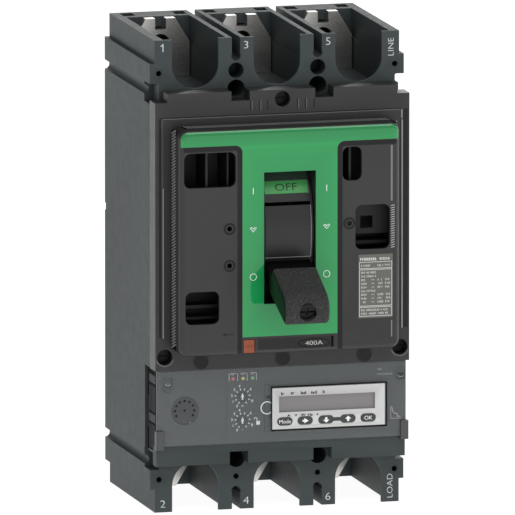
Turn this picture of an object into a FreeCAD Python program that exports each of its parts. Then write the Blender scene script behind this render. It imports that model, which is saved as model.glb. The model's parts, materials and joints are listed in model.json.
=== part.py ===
import FreeCAD, Part
import math
import operator
import os
from types import SimpleNamespace

import Sketcher

# A three-pole moulded case circuit breaker with an electronic trip unit.
# +X is to the right seen from the front, +Z is up, and the front looks along -Y.
# The origin is the middle of the rear mounting face, and "depth" is measured
# forwards from that face, so depth 100 lies at y = -100. Millimetres throughout.

SIZES = {
    # poles and the case
    "pole_pitch": 45.0,
    "case_side": 70.0,
    "case_end": 127.5,
    "end_side": 67.4,
    "rib_end": 115.0,
    "case_front": 95.5,
    "case_wall": 3.5,
    "cavity_end": 89.0,
    "base_side": 64.5,
    "base_depth": 16.7,
    "base_floor": 4.0,
    "base_wall": 2.0,
    "lead_slot_near": 11.0,
    "lead_slot_far": 17.5,
    "lead_slot_reach": 4.0,
    "lead_slot_back": 3.0,
    "lead_slot_front": 12.0,
    "nut_pocket_radius": 8.5,
    # terminal compartments
    "bay_floor": 95.5,
    "bay_half": 17.3,
    "bay_low_half": 16.6,
    "bay_step": 113.0,
    "lip": 1.8,
    "lip_slot_half": 12.8,
    "lip_arc": 113.6,
    "barrier_half": 2.3,
    "barrier_key": 117.5,
    "barrier_key_radius": 2.6,
    # fixings in the case
    "mount_height": 100.0,
    "mount_radius": 3.0,
    "mount_bore_radius": 4.8,
    "mount_seat": 30.0,
    "channel_height": 100.1,
    "channel_radius": 2.5,
    "channel_depth": 84.0,
    "cover_hole_x": 65.0,
    "cover_hole_z": 109.7,
    "corner_notch": 5.0,
    "corner_notch_low": 93.5,
    "corner_notch_high": 104.3,
    "side_notch_deep": 2.0,
    "side_notch_low": 21.0,
    "side_notch_high": 25.0,
    "small_hole_radius": 1.5,
    "large_hole_radius": 4.2,
    "hole_depth": 15.0,
    "ledge_side": 68.6,
    "ledge_top": -90.3,
    "ledge_bottom": -101.3,
    "ledge_front": 103.5,
    "ledge_notch": -94.8,
    "unit_room_back": 85.0,
    "unit_room_bottom": -95.0,
    "unit_room_top": -48.7,
    "top_boss_half": 4.0,
    "top_boss_back": 80.0,
    "top_boss_end": 99.5,
    "side_boss_near": 61.0,
    "side_boss_back": 75.0,
    "side_boss_low": -46.0,
    "side_boss_high": -37.0,
    "screw_bore_end": 84.0,
    # terminals
    "plate_half": 16.0,
    "plate_thick": 6.0,
    "plate_start": 95.7,
    "plate_shoulder": 114.2,
    "plate_end": 127.2,
    "plate_tip_half": 8.2,
    "tip_notch": 6.0,
    "bar_half": 8.0,
    "bar_gap": 0.3,
    "stud_height": 113.5,
    "stud_radius": 5.3,
    "arm_half": 6.0,
    "line_arm_bottom": 18.0,
    "line_arm_top": 24.0,
    "line_arm_front": 30.0,
    "load_arm_bottom": -56.0,
    "load_arm_top": -50.0,
    "load_arm_front": 59.0,
    "riser_thick": 2.0,
    "riser_top": -17.0,
    # front cover
    "cover_front": 107.0,
    "cover_wall": 2.5,
    "cover_top": 100.3,
    "cover_bottom": -49.0,
    "cover_corner_side": 63.3,
    "cover_corner_top": 95.6,
    "cover_notch": 95.2,
    "cover_back": 86.5,
    "hollow_top": 89.1,
    "boss_radius": 5.1,
    "ridge_near": 65.4,
    "ridge_far": 66.2,
    "ridge_rise": 0.6,
    "ridge_bottom": -31.5,
    "ridge_top": 81.7,
    "dimple_radius": 3.9,
    "dimple_deep": 0.3,
    "dimple_z": -44.6,
    "notch_near": 18.0,
    "notch_far": 28.1,
    "raised_side": 60.6,
    "raised_top": 82.5,
    "raised_bottom": -39.3,
    "raised_front": 122.5,
    "raised_round": 3.0,
    "raised_corner": 4.5,
    "raised_deep": 8.0,
    "small_window_round": 3.5,
    "small_window_deep": 6.0,
    "pilot_radius": 1.4,
    "inlay_deep": 0.5,
    "inlay_proud": 0.1,
    "window_half": 14.3,
    "window_top": 58.6,
    "window_bottom": -12.4,
    "well_wall": 1.7,
    "well_end": 110.0,
    "deck_side": 57.6,
    "deck_back": 95.9,
    "deck_bottom": -36.5,
    "deck_top": 79.7,
    "deck_gap": 0.4,
    "deck_front": 98.0,
    "screen_back": 110.0,
    "screen_front": 111.5,
    "top_screw_z": 95.2,
    "low_screw_x": 64.8,
    "low_screw_z": -41.5,
    "screw_recess_radius": 4.2,
    "screw_seat": 98.6,
    "screw_head_radius": 3.8,
    "screw_head": 2.4,
    "screw_shank_radius": 1.75,
    "screw_tip": 86.0,
    "screw_clearance": 0.15,
    "screw_slot_reach": 3.0,
    "screw_slot_half": 0.5,
    "screw_slot_deep": 1.0,
    # coloured front plate
    "plate_skin": 1.2,
    "band_side": 59.8,
    "band_top": 81.7,
    "band_bottom": 73.8,
    "band_corner": 4.0,
    "stem_side": 26.1,
    "stem_bottom": -29.8,
    "stem_fillet": 4.0,
    # operating handle, straight out from its pivot before it is turned
    "pivot_depth": 67.0,
    "pivot_height": 25.0,
    "pin_radius": 3.0,
    "hub_radius": 5.6,
    "off_angle": 22.2,
    "drum_radius": 52.0,
    "drum_thick": 2.5,
    "drum_half": 13.9,
    "web_thick": 2.0,
    "web_half": 7.0,
    "apron_rise": 0.9,
    "apron_half": 12.7,
    "apron_low": 7.4,
    "apron_high": 38.1,
    "slit_high": 40.4,
    "slit_half": 12.6,
    "flag_near": 45.3,
    "flag_far": 53.0,
    "flag_half": 12.0,
    "flag_rise": 0.5,
    "drum_up": 67.2,
    "drum_down": 65.8,
    "handle_half": 12.3,
    "handle_root": 52.1,
    "handle_neck": 67.0,
    "handle_tip": 100.4,
    "handle_screw_radius": 4.5,
    "handle_screw_rise": 1.0,
    "handle_screw_depth": 5.0,
    "handle_screw_head": 2.6,
    "handle_screw_gap": 0.1,
    "handle_screw_slot": 1.0,
    "slot_half": 0.5,
    "slot_reach": 4.0,
    "handle_above": 7.8,
    "handle_below": 6.3,
    "handle_top_round": 10.6,
    "handle_low_round": 3.0,
    "handle_side_round": 2.2,
    "neck_half": 4.6,
    "shoulder_above": 9.2,
    "shoulder_below": 7.2,
    # breaking poles
    "cassette_half": 19.0,
    "cassette_back": 26.0,
    "cassette_front": 61.0,
    "cassette_top": 56.0,
    "cassette_bottom": -60.0,
    "cassette_wall": 2.0,
    "cassette_gap": 0.3,
    "rotor_depth": 43.5,
    "rotor_radius": 12.0,
    "rotor_half": 8.0,
    "stub_radius": 5.0,
    "running_fit": 0.06,
    "arm_reach": 23.2,
    "arm_waist": 4.0,
    "arm_tip": 1.0,
    "arm_thick": 6.0,
    "chute_half": 14.5,
    "chute_back": 30.0,
    "chute_front": 54.0,
    "chute_pitch": 3.6,
    "splitter_thick": 1.4,
    "chute_wall": 1.5,
    "line_chute_bottom": 28.0,
    "load_chute_bottom": -48.0,
    # current transformers
    "coil_half": 17.0,
    "coil_back": 8.0,
    "coil_front": 31.0,
    "coil_bottom": -82.0,
    "coil_top": -64.0,
    "coil_gap": 1.0,
    # mechanism
    "frame_inner": 16.3,
    "frame_thick": 1.5,
    "frame_top": 84.0,
    "frame_bottom": -34.5,
    "frame_front": 103.5,
    "frame_hole_end": 30.0,
    "bridge_bottom": -10.0,
    "bridge_top": 55.0,
    "hub_room": 3.0,
    # trip unit
    "unit_side": 66.2,
    "unit_back": 64.0,
    "unit_top": -49.3,
    "unit_bottom": -88.7,
    "unit_wall": 2.0,
    "unit_front": 103.0,
    "flange_side": 68.4,
    "flange_back": 85.3,
    "flange_inner": 66.6,
    "flange_gap": 0.2,
    "flange_foot": -94.7,
    "flange_foot_front": 95.2,
    "fascia_side": 68.6,
    "fascia_front": 105.0,
    "fascia_bottom": -90.0,
    "lid_back": 105.2,
    "lid_front": 107.0,
    "lid_side": 68.4,
    "lid_top": -49.6,
    "lid_axis_depth": 106.2,
    "lid_axis_height": -89.2,
    "lid_pin_radius": 0.9,
    "lid_pin_end": 68.2,
    "lid_gap": 0.4,
    "lid_port_gap": 0.5,
    "tab_near": 61.8,
    "tab_far": 66.6,
    "tab_bottom": -59.6,
    "tab_top": -53.2,
    "tab_rise": 0.5,
    "lug_inner": 65.4,
    "lug_outer": 69.6,
    "lug_top": -81.6,
    "lug_bottom": -91.8,
    "lug_bore_end": 68.5,
    "lug_back": 103.6,
    "lug_rise": 0.2,
    "bezel_left": -5.5,
    "bezel_right": 56.6,
    "bezel_bottom": -83.3,
    "bezel_top": -61.1,
    "bezel_front": 106.8,
    "bezel_back": 101.6,
    "glass_left": -4.0,
    "glass_right": 54.0,
    "glass_bottom": -76.0,
    "glass_top": -63.7,
    "glass_back": 102.2,
    "glass_front": 105.3,
    "pocket_bottom": -82.4,
    "view_left": -1.8,
    "view_right": 51.2,
    "view_bottom": -74.3,
    "view_top": -65.6,
    "key_height": -79.2,
    "key_half": 4.0,
    "key_rise": 2.0,
    "key_gap": 0.25,
    "key_back": 104.0,
    "key_front": 107.3,
    "key_skirt_back": 103.6,
    "key_skirt_front": 104.7,
    "rocker_skirt_front": 104.4,
    "key_skirt": 0.7,
    "rocker_skirt": 0.6,
    "rocker_neck": 0.7,
    "rocker_depth": 104.6,
    "rocker_pin_reach": 2.9,
    "key_down": 24.1,
    "key_up": 36.2,
    "rocker_pin": 0.6,
    "dial_x": -21.5,
    "dial_high": -64.9,
    "dial_low": -77.9,
    "dial_radius": 3.0,
    "dial_back": 101.8,
    "dial_long": 3.2,
    "dial_chamfer": 0.3,
    "dial_slot_back": 104.2,
    "dial_slot_reach": 2.2,
    "dial_slot_half": 0.4,
    "port_x": -53.5,
    "port_z": -71.1,
    "port_radius": 7.2,
    "port_back": 100.0,
    "port_front": 105.3,
    "port_ring": 5.3,
    "port_hole_radius": 0.6,
    "port_hole_back": 104.0,
    "led_height": -55.2,
    "led_radius": 0.9,
    # trip button and trip bar
    "button_left": -25.4,
    "button_right": -19.5,
    "button_bottom": -38.4,
    "button_top": -31.4,
    "button_front": 122.2,
    "button_back": 117.5,
    "button_gap": 0.3,
    "button_hole_back": 113.0,
    "stem_left": -23.6,
    "stem_right": -21.2,
    "stem_back": 90.4,
    "stem_low": -36.0,
    "stem_room": 1.0,
    "trip_depth": 87.0,
    "trip_height": -45.4,
    "trip_radius": 1.5,
    "trip_bar_half": 56.0,
    "paddle_left": -24.2,
    "paddle_right": -20.6,
    "paddle_back": 88.4,
    "paddle_front": 89.9,
    "paddle_top": -32.0,
    "paddle_root_back": 86.5,
    "paddle_root_half": 1.4,
    "spring_left": 44.0,
    "spring_right": 48.5,
    "spring_leg_x": 45.1,
    "spring_inner": 1.8,
    "spring_outer": 2.6,
}

# Openings and inlays of the front: their spans along x and z.
WINDOWS = (
    ((-58.2, -29.8), (51.6, 70.4)),
    ((-57.5, -38.9), (-22.0, -4.3)),
    ((29.0, 39.5), (52.2, 70.5)),
    ((36.0, 55.0), (14.7, 38.8)),
)
PANEL_SCREWS = ((-33.2, 29.0), (-33.2, 9.1), (32.6, 29.2))
LABEL = ((37.7, 56.6), (-22.4, 11.9))
RATING = ((-17.4, 22.4), (-36.9, -31.1))

# The ribs seen through the windows: their spans along x and z, and their front.
RIBS = (
    ((-45.2, -44.0), (49.0, 71.8), 117.5),
    ((-33.4, -32.6), (49.0, 71.8), 117.5),
    ((33.6, 34.8), (49.0, 71.8), 117.5),
    ((-58.0, -30.0), (72.6, 74.0), 114.0),
    ((-57.0, -36.0), (-15.6, -13.8), 108.0),
    ((-57.0, -36.0), (-21.2, -19.8), 110.0),
    ((34.0, 57.0), (11.0, 12.4), 114.0),
    ((34.0, 57.0), (15.6, 17.4), 110.0),
)

# The pierced screen behind the window on the right: spans along x and z.
SCREEN = ((34.0, 57.0), (21.4, 42.0))
SCREEN_POST = ((55.6, 57.0), (21.4, 42.0))
SCREEN_SLIT = ((36.2, 38.4), (20.0, 34.6))
SCREEN_HOLE = ((41.6, 48.4), (24.4, 31.0))

# Pieces inside the trip unit: spans along x, depth and z.
BOARD = ((-62, 62), (98.5, 100), (-86, -52))
SOLENOID = ((-60, -38), (70, 92), (-80, -58))
SOLENOID_AXIS = (-49, -69)
SOLENOID_PIN = 2.0
BRACKET = ((50, 54), (84.5, 89.5))
BRACKET_TOP = -42.4

KEYS = {"key_mode": 1.4, "key_right": 12.6, "key_ok": 47.4}
LEDS = {"led_red": -26.7, "led_yellow": -21.2, "led_green": -15.9}
PORT_HOLES = range(-30, 211, 30)
POLES = (1, 2, 3)
LINE_SPLITTERS = 7
LOAD_SPLITTERS = 6
SIDES = (-1, 1)
# How far a cutting tool runs past the face it cuts.
PAST = 1.0
# Two lengths this close count as the same.
TOLERANCE = 0.01
# A wedge that cuts a ring has its corners well outside it, and its back in this many straight runs.
WEDGE_REACH = 1.8
WEDGE_STEPS = 3
OPERATIONS = {"+": operator.add, "-": operator.sub, "*": operator.mul, "/": operator.truediv}


# Sizes that follow the sheet --------------------------------------------------------------

class Size:
    """A size worked out from the sheet: its value, and the expression that keeps it so."""

    def __init__(self, value, text):
        self.value = value
        self.text = text

    def __add__(self, other):
        return combine(self, "+", other)

    def __radd__(self, other):
        return combine(other, "+", self)

    def __sub__(self, other):
        return combine(self, "-", other)

    def __rsub__(self, other):
        return combine(other, "-", self)

    def __mul__(self, other):
        return combine(self, "*", other)

    def __rmul__(self, other):
        return combine(other, "*", self)

    def __truediv__(self, other):
        return combine(self, "/", other)

    def __neg__(self):
        return combine(-1, "*", self)


def as_size(value):
    if isinstance(value, Size):
        return value
    return Size(float(value), f"({float(value)})")


def combine(left, sign, right):
    left = as_size(left)
    right = as_size(right)
    value = OPERATIONS[sign](left.value, right.value)
    return Size(value, f"({left.text} {sign} {right.text})")


def cosine(angle):
    return Size(math.cos(math.radians(angle.value)), f"cos({angle.text} * 1 deg)")


def sine(angle):
    return Size(math.sin(math.radians(angle.value)), f"sin({angle.text} * 1 deg)")


def write_sheet(document):
    sheet = document.addObject("Spreadsheet::Sheet", "Sheet")
    for row, (alias, value) in enumerate(SIZES.items(), 1):
        sheet.set(f"A{row}", alias)
        sheet.set(f"B{row}", str(value))
        sheet.setAlias(f"B{row}", alias)
    document.recompute()
    return SimpleNamespace(**{alias: Size(value, f"Sheet.{alias}") for alias, value in SIZES.items()})


doc = FreeCAD.newDocument("case_breaker")
d = write_sheet(doc)
nodes = []


def bind(item, name, size):
    item.setExpression(name, as_size(size).text)


def bind_place(item, place, rotation=FreeCAD.Rotation()):
    """Puts an object at (x, depth, z), turned by a fixed rotation."""
    x, depth, z = (as_size(value) for value in place)
    item.Placement = FreeCAD.Placement(FreeCAD.Vector(x.value, -depth.value, z.value), rotation)
    bind(item, "Placement.Base.x", x)
    bind(item, "Placement.Base.y", -depth)
    bind(item, "Placement.Base.z", z)


def near(length, size):
    return abs(length - as_size(size).value) < TOLERANCE


def limits(span):
    """The low and high end of a span. A single size stands for a span centred on zero."""
    if isinstance(span, tuple):
        return as_size(span[0]), as_size(span[1])
    return -as_size(span), as_size(span)


def sorted_span(first, second):
    if as_size(first).value < as_size(second).value:
        return first, second
    return second, first


# Plain solids and booleans ----------------------------------------------------------------

def block(x, depth, z):
    x_low, x_high = limits(x)
    near, far = limits(depth)
    z_low, z_high = limits(z)
    item = doc.addObject("Part::Box", "Block")
    for name, size in (("Length", x_high - x_low), ("Width", far - near), ("Height", z_high - z_low)):
        setattr(item, name, size.value)
        bind(item, name, size)
    bind_place(item, (x_low, far, z_low))
    return item


def fillet(base, radius_of):
    """Rounds the edges that radius_of gives a radius for."""
    base.recompute(True)
    item = doc.addObject("Part::Fillet", "Fillet")
    item.Base = base
    edges = []
    for number, edge in enumerate(base.Shape.Edges, 1):
        radius = as_size(radius_of([vertex.Point for vertex in edge.Vertexes])).value
        if radius > 0:
            edges.append((number, radius, radius))
    item.Edges = edges
    return item


def rounded(x, depth, z, radius):
    """A block whose four edges along the depth are rounded."""
    def along_depth(ends):
        return 0 if near(ends[0].y, ends[-1].y) else radius
    return fillet(block(x, depth, z), along_depth)


TURNS = {
    "x": FreeCAD.Rotation(FreeCAD.Vector(0, 1, 0), 90),
    "depth": FreeCAD.Rotation(FreeCAD.Vector(1, 0, 0), 90),
    "z": FreeCAD.Rotation(),
}


def rod(radius, along, span, at):
    """A cylinder along x, depth or z. "at" gives its two other coordinates in that order."""
    low, high = limits(span)
    first, second = at
    item = doc.addObject("Part::Cylinder", "Rod")
    item.Radius = as_size(radius).value
    item.Height = (high - low).value
    bind(item, "Radius", radius)
    bind(item, "Height", high - low)
    place = {"x": (low, first, second), "depth": (first, low, second), "z": (first, second, low)}
    bind_place(item, place[along], TURNS[along])
    return item


def fuse(*items):
    if len(items) == 1:
        return items[0]
    item = doc.addObject("Part::MultiFuse", "Fusion")
    item.Shapes = list(items)
    return item


def cut(base, *tools):
    item = doc.addObject("Part::Cut", "Cut")
    item.Base = base
    item.Tool = fuse(*tools)
    return item


def common(first, second):
    item = doc.addObject("Part::Common", "Common")
    item.Base = first
    item.Tool = second
    return item


def group(*items):
    """Separate solids that share one node."""
    item = doc.addObject("Part::Compound", "Group")
    item.Links = list(items)
    return item


def node(name, item):
    item.Label = name
    nodes.append(item)
    return item


def pole(number):
    return d.pole_pitch * (number - 2)


# Sketched bodies --------------------------------------------------------------------------

def new_sketch(body, role):
    sketch = body.newObject("Sketcher::SketchObject", "Sketch")
    plane = next(feature for feature in body.Origin.OriginFeatures if feature.Role == role)
    sketch.AttachmentSupport = (plane, [""])
    sketch.MapMode = "FlatFace"
    return sketch


def constrain(sketch, kind, edge, point, size):
    number = sketch.addConstraint(Sketcher.Constraint(kind, edge, point, size.value))
    sketch.setExpression(f"Constraints[{number}]", size.text)


def draw_outline(sketch, corners):
    """A closed outline through the corners, each one held by its two coordinates."""
    corners = [(as_size(first), as_size(second)) for first, second in corners]
    points = [FreeCAD.Vector(first.value, second.value, 0) for first, second in corners]
    count = len(points)
    for number in range(count):
        sketch.addGeometry(Part.LineSegment(points[number], points[(number + 1) % count]), False)
    for number in range(count):
        sketch.addConstraint(Sketcher.Constraint("Coincident", number, 2, (number + 1) % count, 1))
    for number, (first, second) in enumerate(corners):
        constrain(sketch, "DistanceX", number, 1, first)
        constrain(sketch, "DistanceY", number, 1, second)


def draw_circle(sketch, centre, radius):
    first = as_size(centre[0])
    second = as_size(centre[1])
    radius = as_size(radius)
    middle = FreeCAD.Vector(first.value, second.value, 0)
    edge = sketch.addGeometry(Part.Circle(middle, FreeCAD.Vector(0, 0, 1), radius.value), False)
    number = sketch.addConstraint(Sketcher.Constraint("Radius", edge, radius.value))
    sketch.setExpression(f"Constraints[{number}]", radius.text)
    constrain(sketch, "DistanceX", edge, 3, first)
    constrain(sketch, "DistanceY", edge, 3, second)


def pad(body, sketch, length, midplane=False):
    item = body.newObject("PartDesign::Pad", "Pad")
    item.Profile = sketch
    item.Length = as_size(length).value
    bind(item, "Length", length)
    item.Midplane = midplane
    sketch.Visibility = False
    return item


def turned(corners, place, angle=0):
    """A body turned about the depth axis. Corners are (radius, depth behind the place)."""
    body = doc.addObject("PartDesign::Body", "Turned")
    sketch = new_sketch(body, "YZ_Plane")
    draw_outline(sketch, [(depth, radius) for radius, depth in corners])
    item = body.newObject("PartDesign::Revolution", "Revolution")
    item.Profile = sketch
    item.ReferenceAxis = (sketch, ["H_Axis"])
    item.Angle = 360
    bind_place(body, place, FreeCAD.Rotation(FreeCAD.Vector(0, 1, 0), angle))
    return body


def padded(corners, thick, place, role="XZ_Plane", midplane=False, holes=()):
    """A body padded from an outline, with round holes given as (centre, radius)."""
    body = doc.addObject("PartDesign::Body", "Padded")
    sketch = new_sketch(body, role)
    draw_outline(sketch, corners)
    pad(body, sketch, thick, midplane)
    for centre, radius in holes:
        hole = new_sketch(body, role)
        draw_circle(hole, centre, radius)
        pocket = body.newObject("PartDesign::Pocket", "Pocket")
        pocket.Profile = hole
        pocket.Type = "ThroughAll"
        pocket.Midplane = True
    bind_place(body, place)
    return body


# The case ---------------------------------------------------------------------------------

def rear_base():
    shell = block(d.base_side, (0, d.base_depth), d.case_end)
    front = d.base_depth + PAST
    cuts = [block(d.base_side - d.base_wall, (d.base_floor, front), d.cavity_end - PAST)]
    for end in SIDES:
        for number in POLES:
            at = (pole(number), d.stud_height * end)
            cuts.append(rod(d.nut_pocket_radius, "depth", (d.base_floor, front), at))
            for side in SIDES:
                x = sorted_span(pole(number) + d.lead_slot_near * side,
                                pole(number) + d.lead_slot_far * side)
                z = sorted_span((d.case_end - d.lead_slot_reach) * end, (d.case_end + PAST) * end)
                cuts.append(block(x, (d.lead_slot_back, d.lead_slot_front), z))
        for side in SIDES:
            at = (d.pole_pitch / 2 * side, d.mount_height * end)
            cuts.append(rod(d.mount_radius, "depth", (-PAST, front), at))
            cuts.extend(barrier_slot(side, end))
    return node("rear_base", cut(shell, *cuts))


def barrier_slot(side, end):
    """The slot for a phase barrier, with its round keyhole, right through the depth."""
    middle = d.pole_pitch / 2 * side
    depth = (-PAST, d.case_front + PAST)
    x = (middle - d.barrier_half, middle + d.barrier_half)
    z = sorted_span(d.barrier_key * end, (d.case_end + PAST) * end)
    keyhole = rod(d.barrier_key_radius, "depth", depth, (middle, d.barrier_key * end))
    return [block(x, depth, z), keyhole]


def terminal_bay(number, end):
    """The open compartment round one terminal, and the U in its front lip."""
    x = pole(number)
    back = d.base_depth - PAST
    inside = (back, d.case_front - d.lip)
    upper = sorted_span(d.bay_step * end, (d.case_end + PAST) * end)
    lower = sorted_span(d.bay_floor * end, d.bay_step * end)
    front = (d.case_front - d.lip - PAST, d.case_front + PAST)
    return [
        block((x - d.bay_half, x + d.bay_half), inside, upper),
        block((x - d.bay_low_half, x + d.bay_low_half), inside, lower),
        block((x - d.lip_slot_half, x + d.lip_slot_half), front,
              sorted_span(d.lip_arc * end, (d.case_end + PAST) * end)),
        rod(d.lip_slot_half, "depth", front, (x, d.lip_arc * end)),
        block((x - d.bar_half - d.bar_gap, x + d.bar_half + d.bar_gap),
              (back, d.base_depth + d.plate_thick + d.bar_gap),
              sorted_span((d.cavity_end - PAST) * end, d.plate_start * end)),
    ]


def case_fixings(side, end):
    """The holes, channels and notches of one corner of the case."""
    middle = d.pole_pitch / 2 * side
    front = d.case_front + PAST
    blind = (d.case_front - d.hole_depth, front)
    corner_radius = d.large_hole_radius if end > 0 else d.small_hole_radius
    edge = sorted_span((d.case_side - d.corner_notch) * side, (d.case_side + PAST) * side)
    notch_z = sorted_span(d.corner_notch_low * end, d.corner_notch_high * end)
    return [
        rod(d.mount_radius, "depth", (d.base_depth - PAST, front),
            (middle, d.mount_height * end)),
        rod(d.mount_bore_radius, "depth", (d.mount_seat, front), (middle, d.mount_height * end)),
        rod(corner_radius, "depth", blind, (middle, d.cover_hole_z * end)),
        rod(d.small_hole_radius, "depth", blind, (d.cover_hole_x * side, d.cover_hole_z * end)),
        rod(d.channel_radius, "depth", (-PAST, d.channel_depth + PAST),
            (d.case_side * side, d.channel_height * end)),
        block(edge, (d.channel_depth, front), notch_z),
        *barrier_slot(side, end),
    ]


def main_case():
    middle = block(d.case_side, (0, d.case_front), d.rib_end)
    ends = block(d.end_side, (0, d.case_front), d.case_end)
    ledge_z = (d.ledge_bottom, d.ledge_top)
    ledge = block(d.ledge_side, (d.case_front - PAST, d.ledge_front), ledge_z)
    front = d.case_front + PAST
    cuts = [
        block(d.base_side, (-PAST, d.base_depth), d.case_end + PAST),
        block(d.case_side - d.case_wall, (d.base_depth - PAST, front), d.cavity_end),
    ]
    for side in SIDES:
        for end in SIDES:
            cuts.extend(case_fixings(side, end))
        outer = sorted_span((d.case_side - d.case_wall) * side, (d.case_side + PAST) * side)
        cuts.append(block(outer, (d.unit_room_back, front), (d.unit_room_bottom, d.unit_room_top)))
        cuts.append(block(outer, (-PAST, d.side_notch_deep), (d.side_notch_low, d.side_notch_high)))
        notch_x = sorted_span(d.notch_near * side, d.notch_far * side)
        cuts.append(block(notch_x, (d.case_front, d.ledge_front + PAST),
                          (d.ledge_bottom - PAST, d.ledge_notch)))
    for number in POLES:
        for end in SIDES:
            cuts.extend(terminal_bay(number, end))
    shell = cut(fuse(middle, ends, ledge), *cuts)
    bosses = [block(d.top_boss_half, (d.top_boss_back, d.case_front - d.lip),
                    (d.bay_floor - PAST, d.top_boss_end))]
    for side in SIDES:
        x = sorted_span(d.side_boss_near * side, (d.case_side - d.case_wall + PAST) * side)
        bosses.append(block(x, (d.side_boss_back, d.case_front), (d.side_boss_low, d.side_boss_high)))
    bores = [rod(d.screw_shank_radius, "depth", (d.screw_bore_end, front), at)
             for at in screw_places()]
    return node("main_case", cut(fuse(shell, *bosses), *bores))


def screw_places():
    return [
        (0, d.top_screw_z),
        (-d.low_screw_x, d.low_screw_z),
        (d.low_screw_x, d.low_screw_z),
    ]


# The front cover --------------------------------------------------------------------------

def raised_block(front, inset):
    """The raised middle of the cover, round at its corners and along its front edges."""
    side = d.raised_side - inset
    z = (d.raised_bottom + inset, d.raised_top - inset)
    plain = rounded(side, (d.cover_front - d.raised_deep, front), z, d.raised_corner - inset)

    def on_front(ends):
        return d.raised_round - inset / 2 if all(near(-end.y, front) for end in ends) else 0
    return fillet(plain, on_front)


def front_cover(face_plate):
    outer = fuse(
        block(d.case_side, (d.case_front, d.cover_front), (d.cover_bottom, d.cover_corner_top)),
        block(d.cover_corner_side, (d.case_front, d.cover_front), (d.cover_bottom, d.cover_top)),
        raised_block(d.raised_front, 0),
    )
    wall = d.cover_wall
    past_front = d.raised_front + PAST
    hollow = fuse(
        block(d.case_side - wall, (d.cover_back, d.cover_front - wall),
              (d.cover_bottom + wall, d.hollow_top)),
        raised_block(d.raised_front - wall, wall),
        block(d.case_side + PAST, (d.cover_back, d.case_front),
              (d.cover_bottom - PAST, d.cover_top + PAST)),
    )
    well = block(d.window_half + d.well_wall, (d.well_end, d.raised_front - PAST),
                 (d.window_bottom - d.well_wall, d.window_top + d.well_wall))
    bosses = [rod(d.boss_radius, "depth", (d.case_front, d.cover_front - PAST), at)
              for at in screw_places()[1:]]
    ridges = [block(sorted_span(d.ridge_near * side, d.ridge_far * side),
                    (d.cover_front - PAST, d.cover_front + d.ridge_rise),
                    (d.ridge_bottom, d.ridge_top)) for side in SIDES]
    through = (d.case_front - PAST, past_front)
    cuts = [block(d.window_half, through, (d.window_bottom, d.window_top))]
    small = (d.raised_front - d.small_window_deep, past_front)
    for x, z in WINDOWS:
        cuts.append(rounded(x, small, z, d.small_window_round))
    for at in PANEL_SCREWS:
        cuts.append(rod(d.pilot_radius, "depth", small, at))
    for at in screw_places():
        cuts.append(rod(d.screw_recess_radius, "depth", (d.screw_seat, d.cover_front + PAST), at))
        cuts.append(rod(d.screw_shank_radius + d.screw_clearance, "depth", through, at))
    for side in SIDES:
        notch_x = sorted_span(d.notch_near * side, d.notch_far * side)
        cuts.append(block(notch_x, (d.case_front - PAST, d.cover_front + PAST),
                          (d.cover_notch, d.cover_top + PAST)))
    for number in POLES:
        cuts.append(rod(d.dimple_radius, "depth", (d.cover_front - d.dimple_deep, d.cover_front + PAST),
                        (pole(number), d.dimple_z)))
    gap = d.button_gap
    cuts.append(block((d.button_left - gap, d.button_right + gap), (d.button_hole_back, past_front),
                      (d.button_bottom - gap, d.button_top + gap)))
    for x, z in (LABEL, RATING):
        cuts.append(block(x, (d.raised_front - d.inlay_deep, past_front), z))
    shell = fuse(cut(outer, hollow), well, *bosses, *ridges)
    return node("front_cover", cut(shell, *cuts, face_plate))


def face_plate():
    """The coloured plate let into the front of the cover, following its round edges."""
    depth = (d.raised_front - d.raised_deep, d.raised_front + PAST)
    band = common(block(d.band_side, depth, (d.band_bottom, d.band_top)),
                  rounded(d.band_side, depth, (d.raised_bottom, d.band_top), d.band_corner))
    stem = block(d.stem_side, depth, (d.stem_bottom, d.band_bottom + PAST))
    corners = []
    for side in SIDES:
        square = block(sorted_span((d.stem_side - PAST) * side, (d.stem_side + d.stem_fillet) * side),
                       depth, (d.band_bottom - d.stem_fillet, d.band_bottom + PAST))
        round_at = ((d.stem_side + d.stem_fillet) * side, d.band_bottom - d.stem_fillet)
        corners.append(cut(square, rod(d.stem_fillet, "depth", depth, round_at)))
    outline = fuse(band, stem, *corners)
    region = cut(outline, block(d.window_half, depth, (d.window_bottom, d.window_top)))
    outer = common(region, raised_block(d.raised_front, 0))
    inner = common(region, raised_block(d.raised_front - d.plate_skin, 0))
    return cut(outer, inner)


def accessory_deck():
    """The floor behind the cover's small windows."""
    floor = block(d.deck_side, (d.deck_back, d.deck_front), (d.deck_bottom, d.deck_top))
    through = (d.deck_back - PAST, d.deck_front + PAST)
    opening = block(d.frame_inner + d.frame_thick + d.deck_gap, through,
                    (d.frame_bottom - d.deck_gap, d.frame_top))
    stem_hole = block((d.stem_left - d.stem_room, d.stem_right + d.stem_room), through,
                      (d.deck_bottom - PAST, d.button_top + d.stem_room))
    return node("accessory_deck", cut(floor, opening, stem_hole))


def accessory_frames():
    """The ribs on the deck, and the pierced screen behind the window on the right."""
    ribs = [block(x, (d.deck_front, front), z) for x, z, front in RIBS]
    through = (d.screen_back - PAST, d.screen_front + PAST)

    def standing(spans, depth):
        x, z = spans
        return block(x, depth, z)
    screen = fuse(standing(SCREEN, (d.screen_back, d.screen_front)),
                  standing(SCREEN_POST, (d.deck_front, d.screen_front)))
    pierced = cut(screen, standing(SCREEN_SLIT, through), standing(SCREEN_HOLE, through))
    return node("accessory_frames", group(*ribs, pierced))


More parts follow.
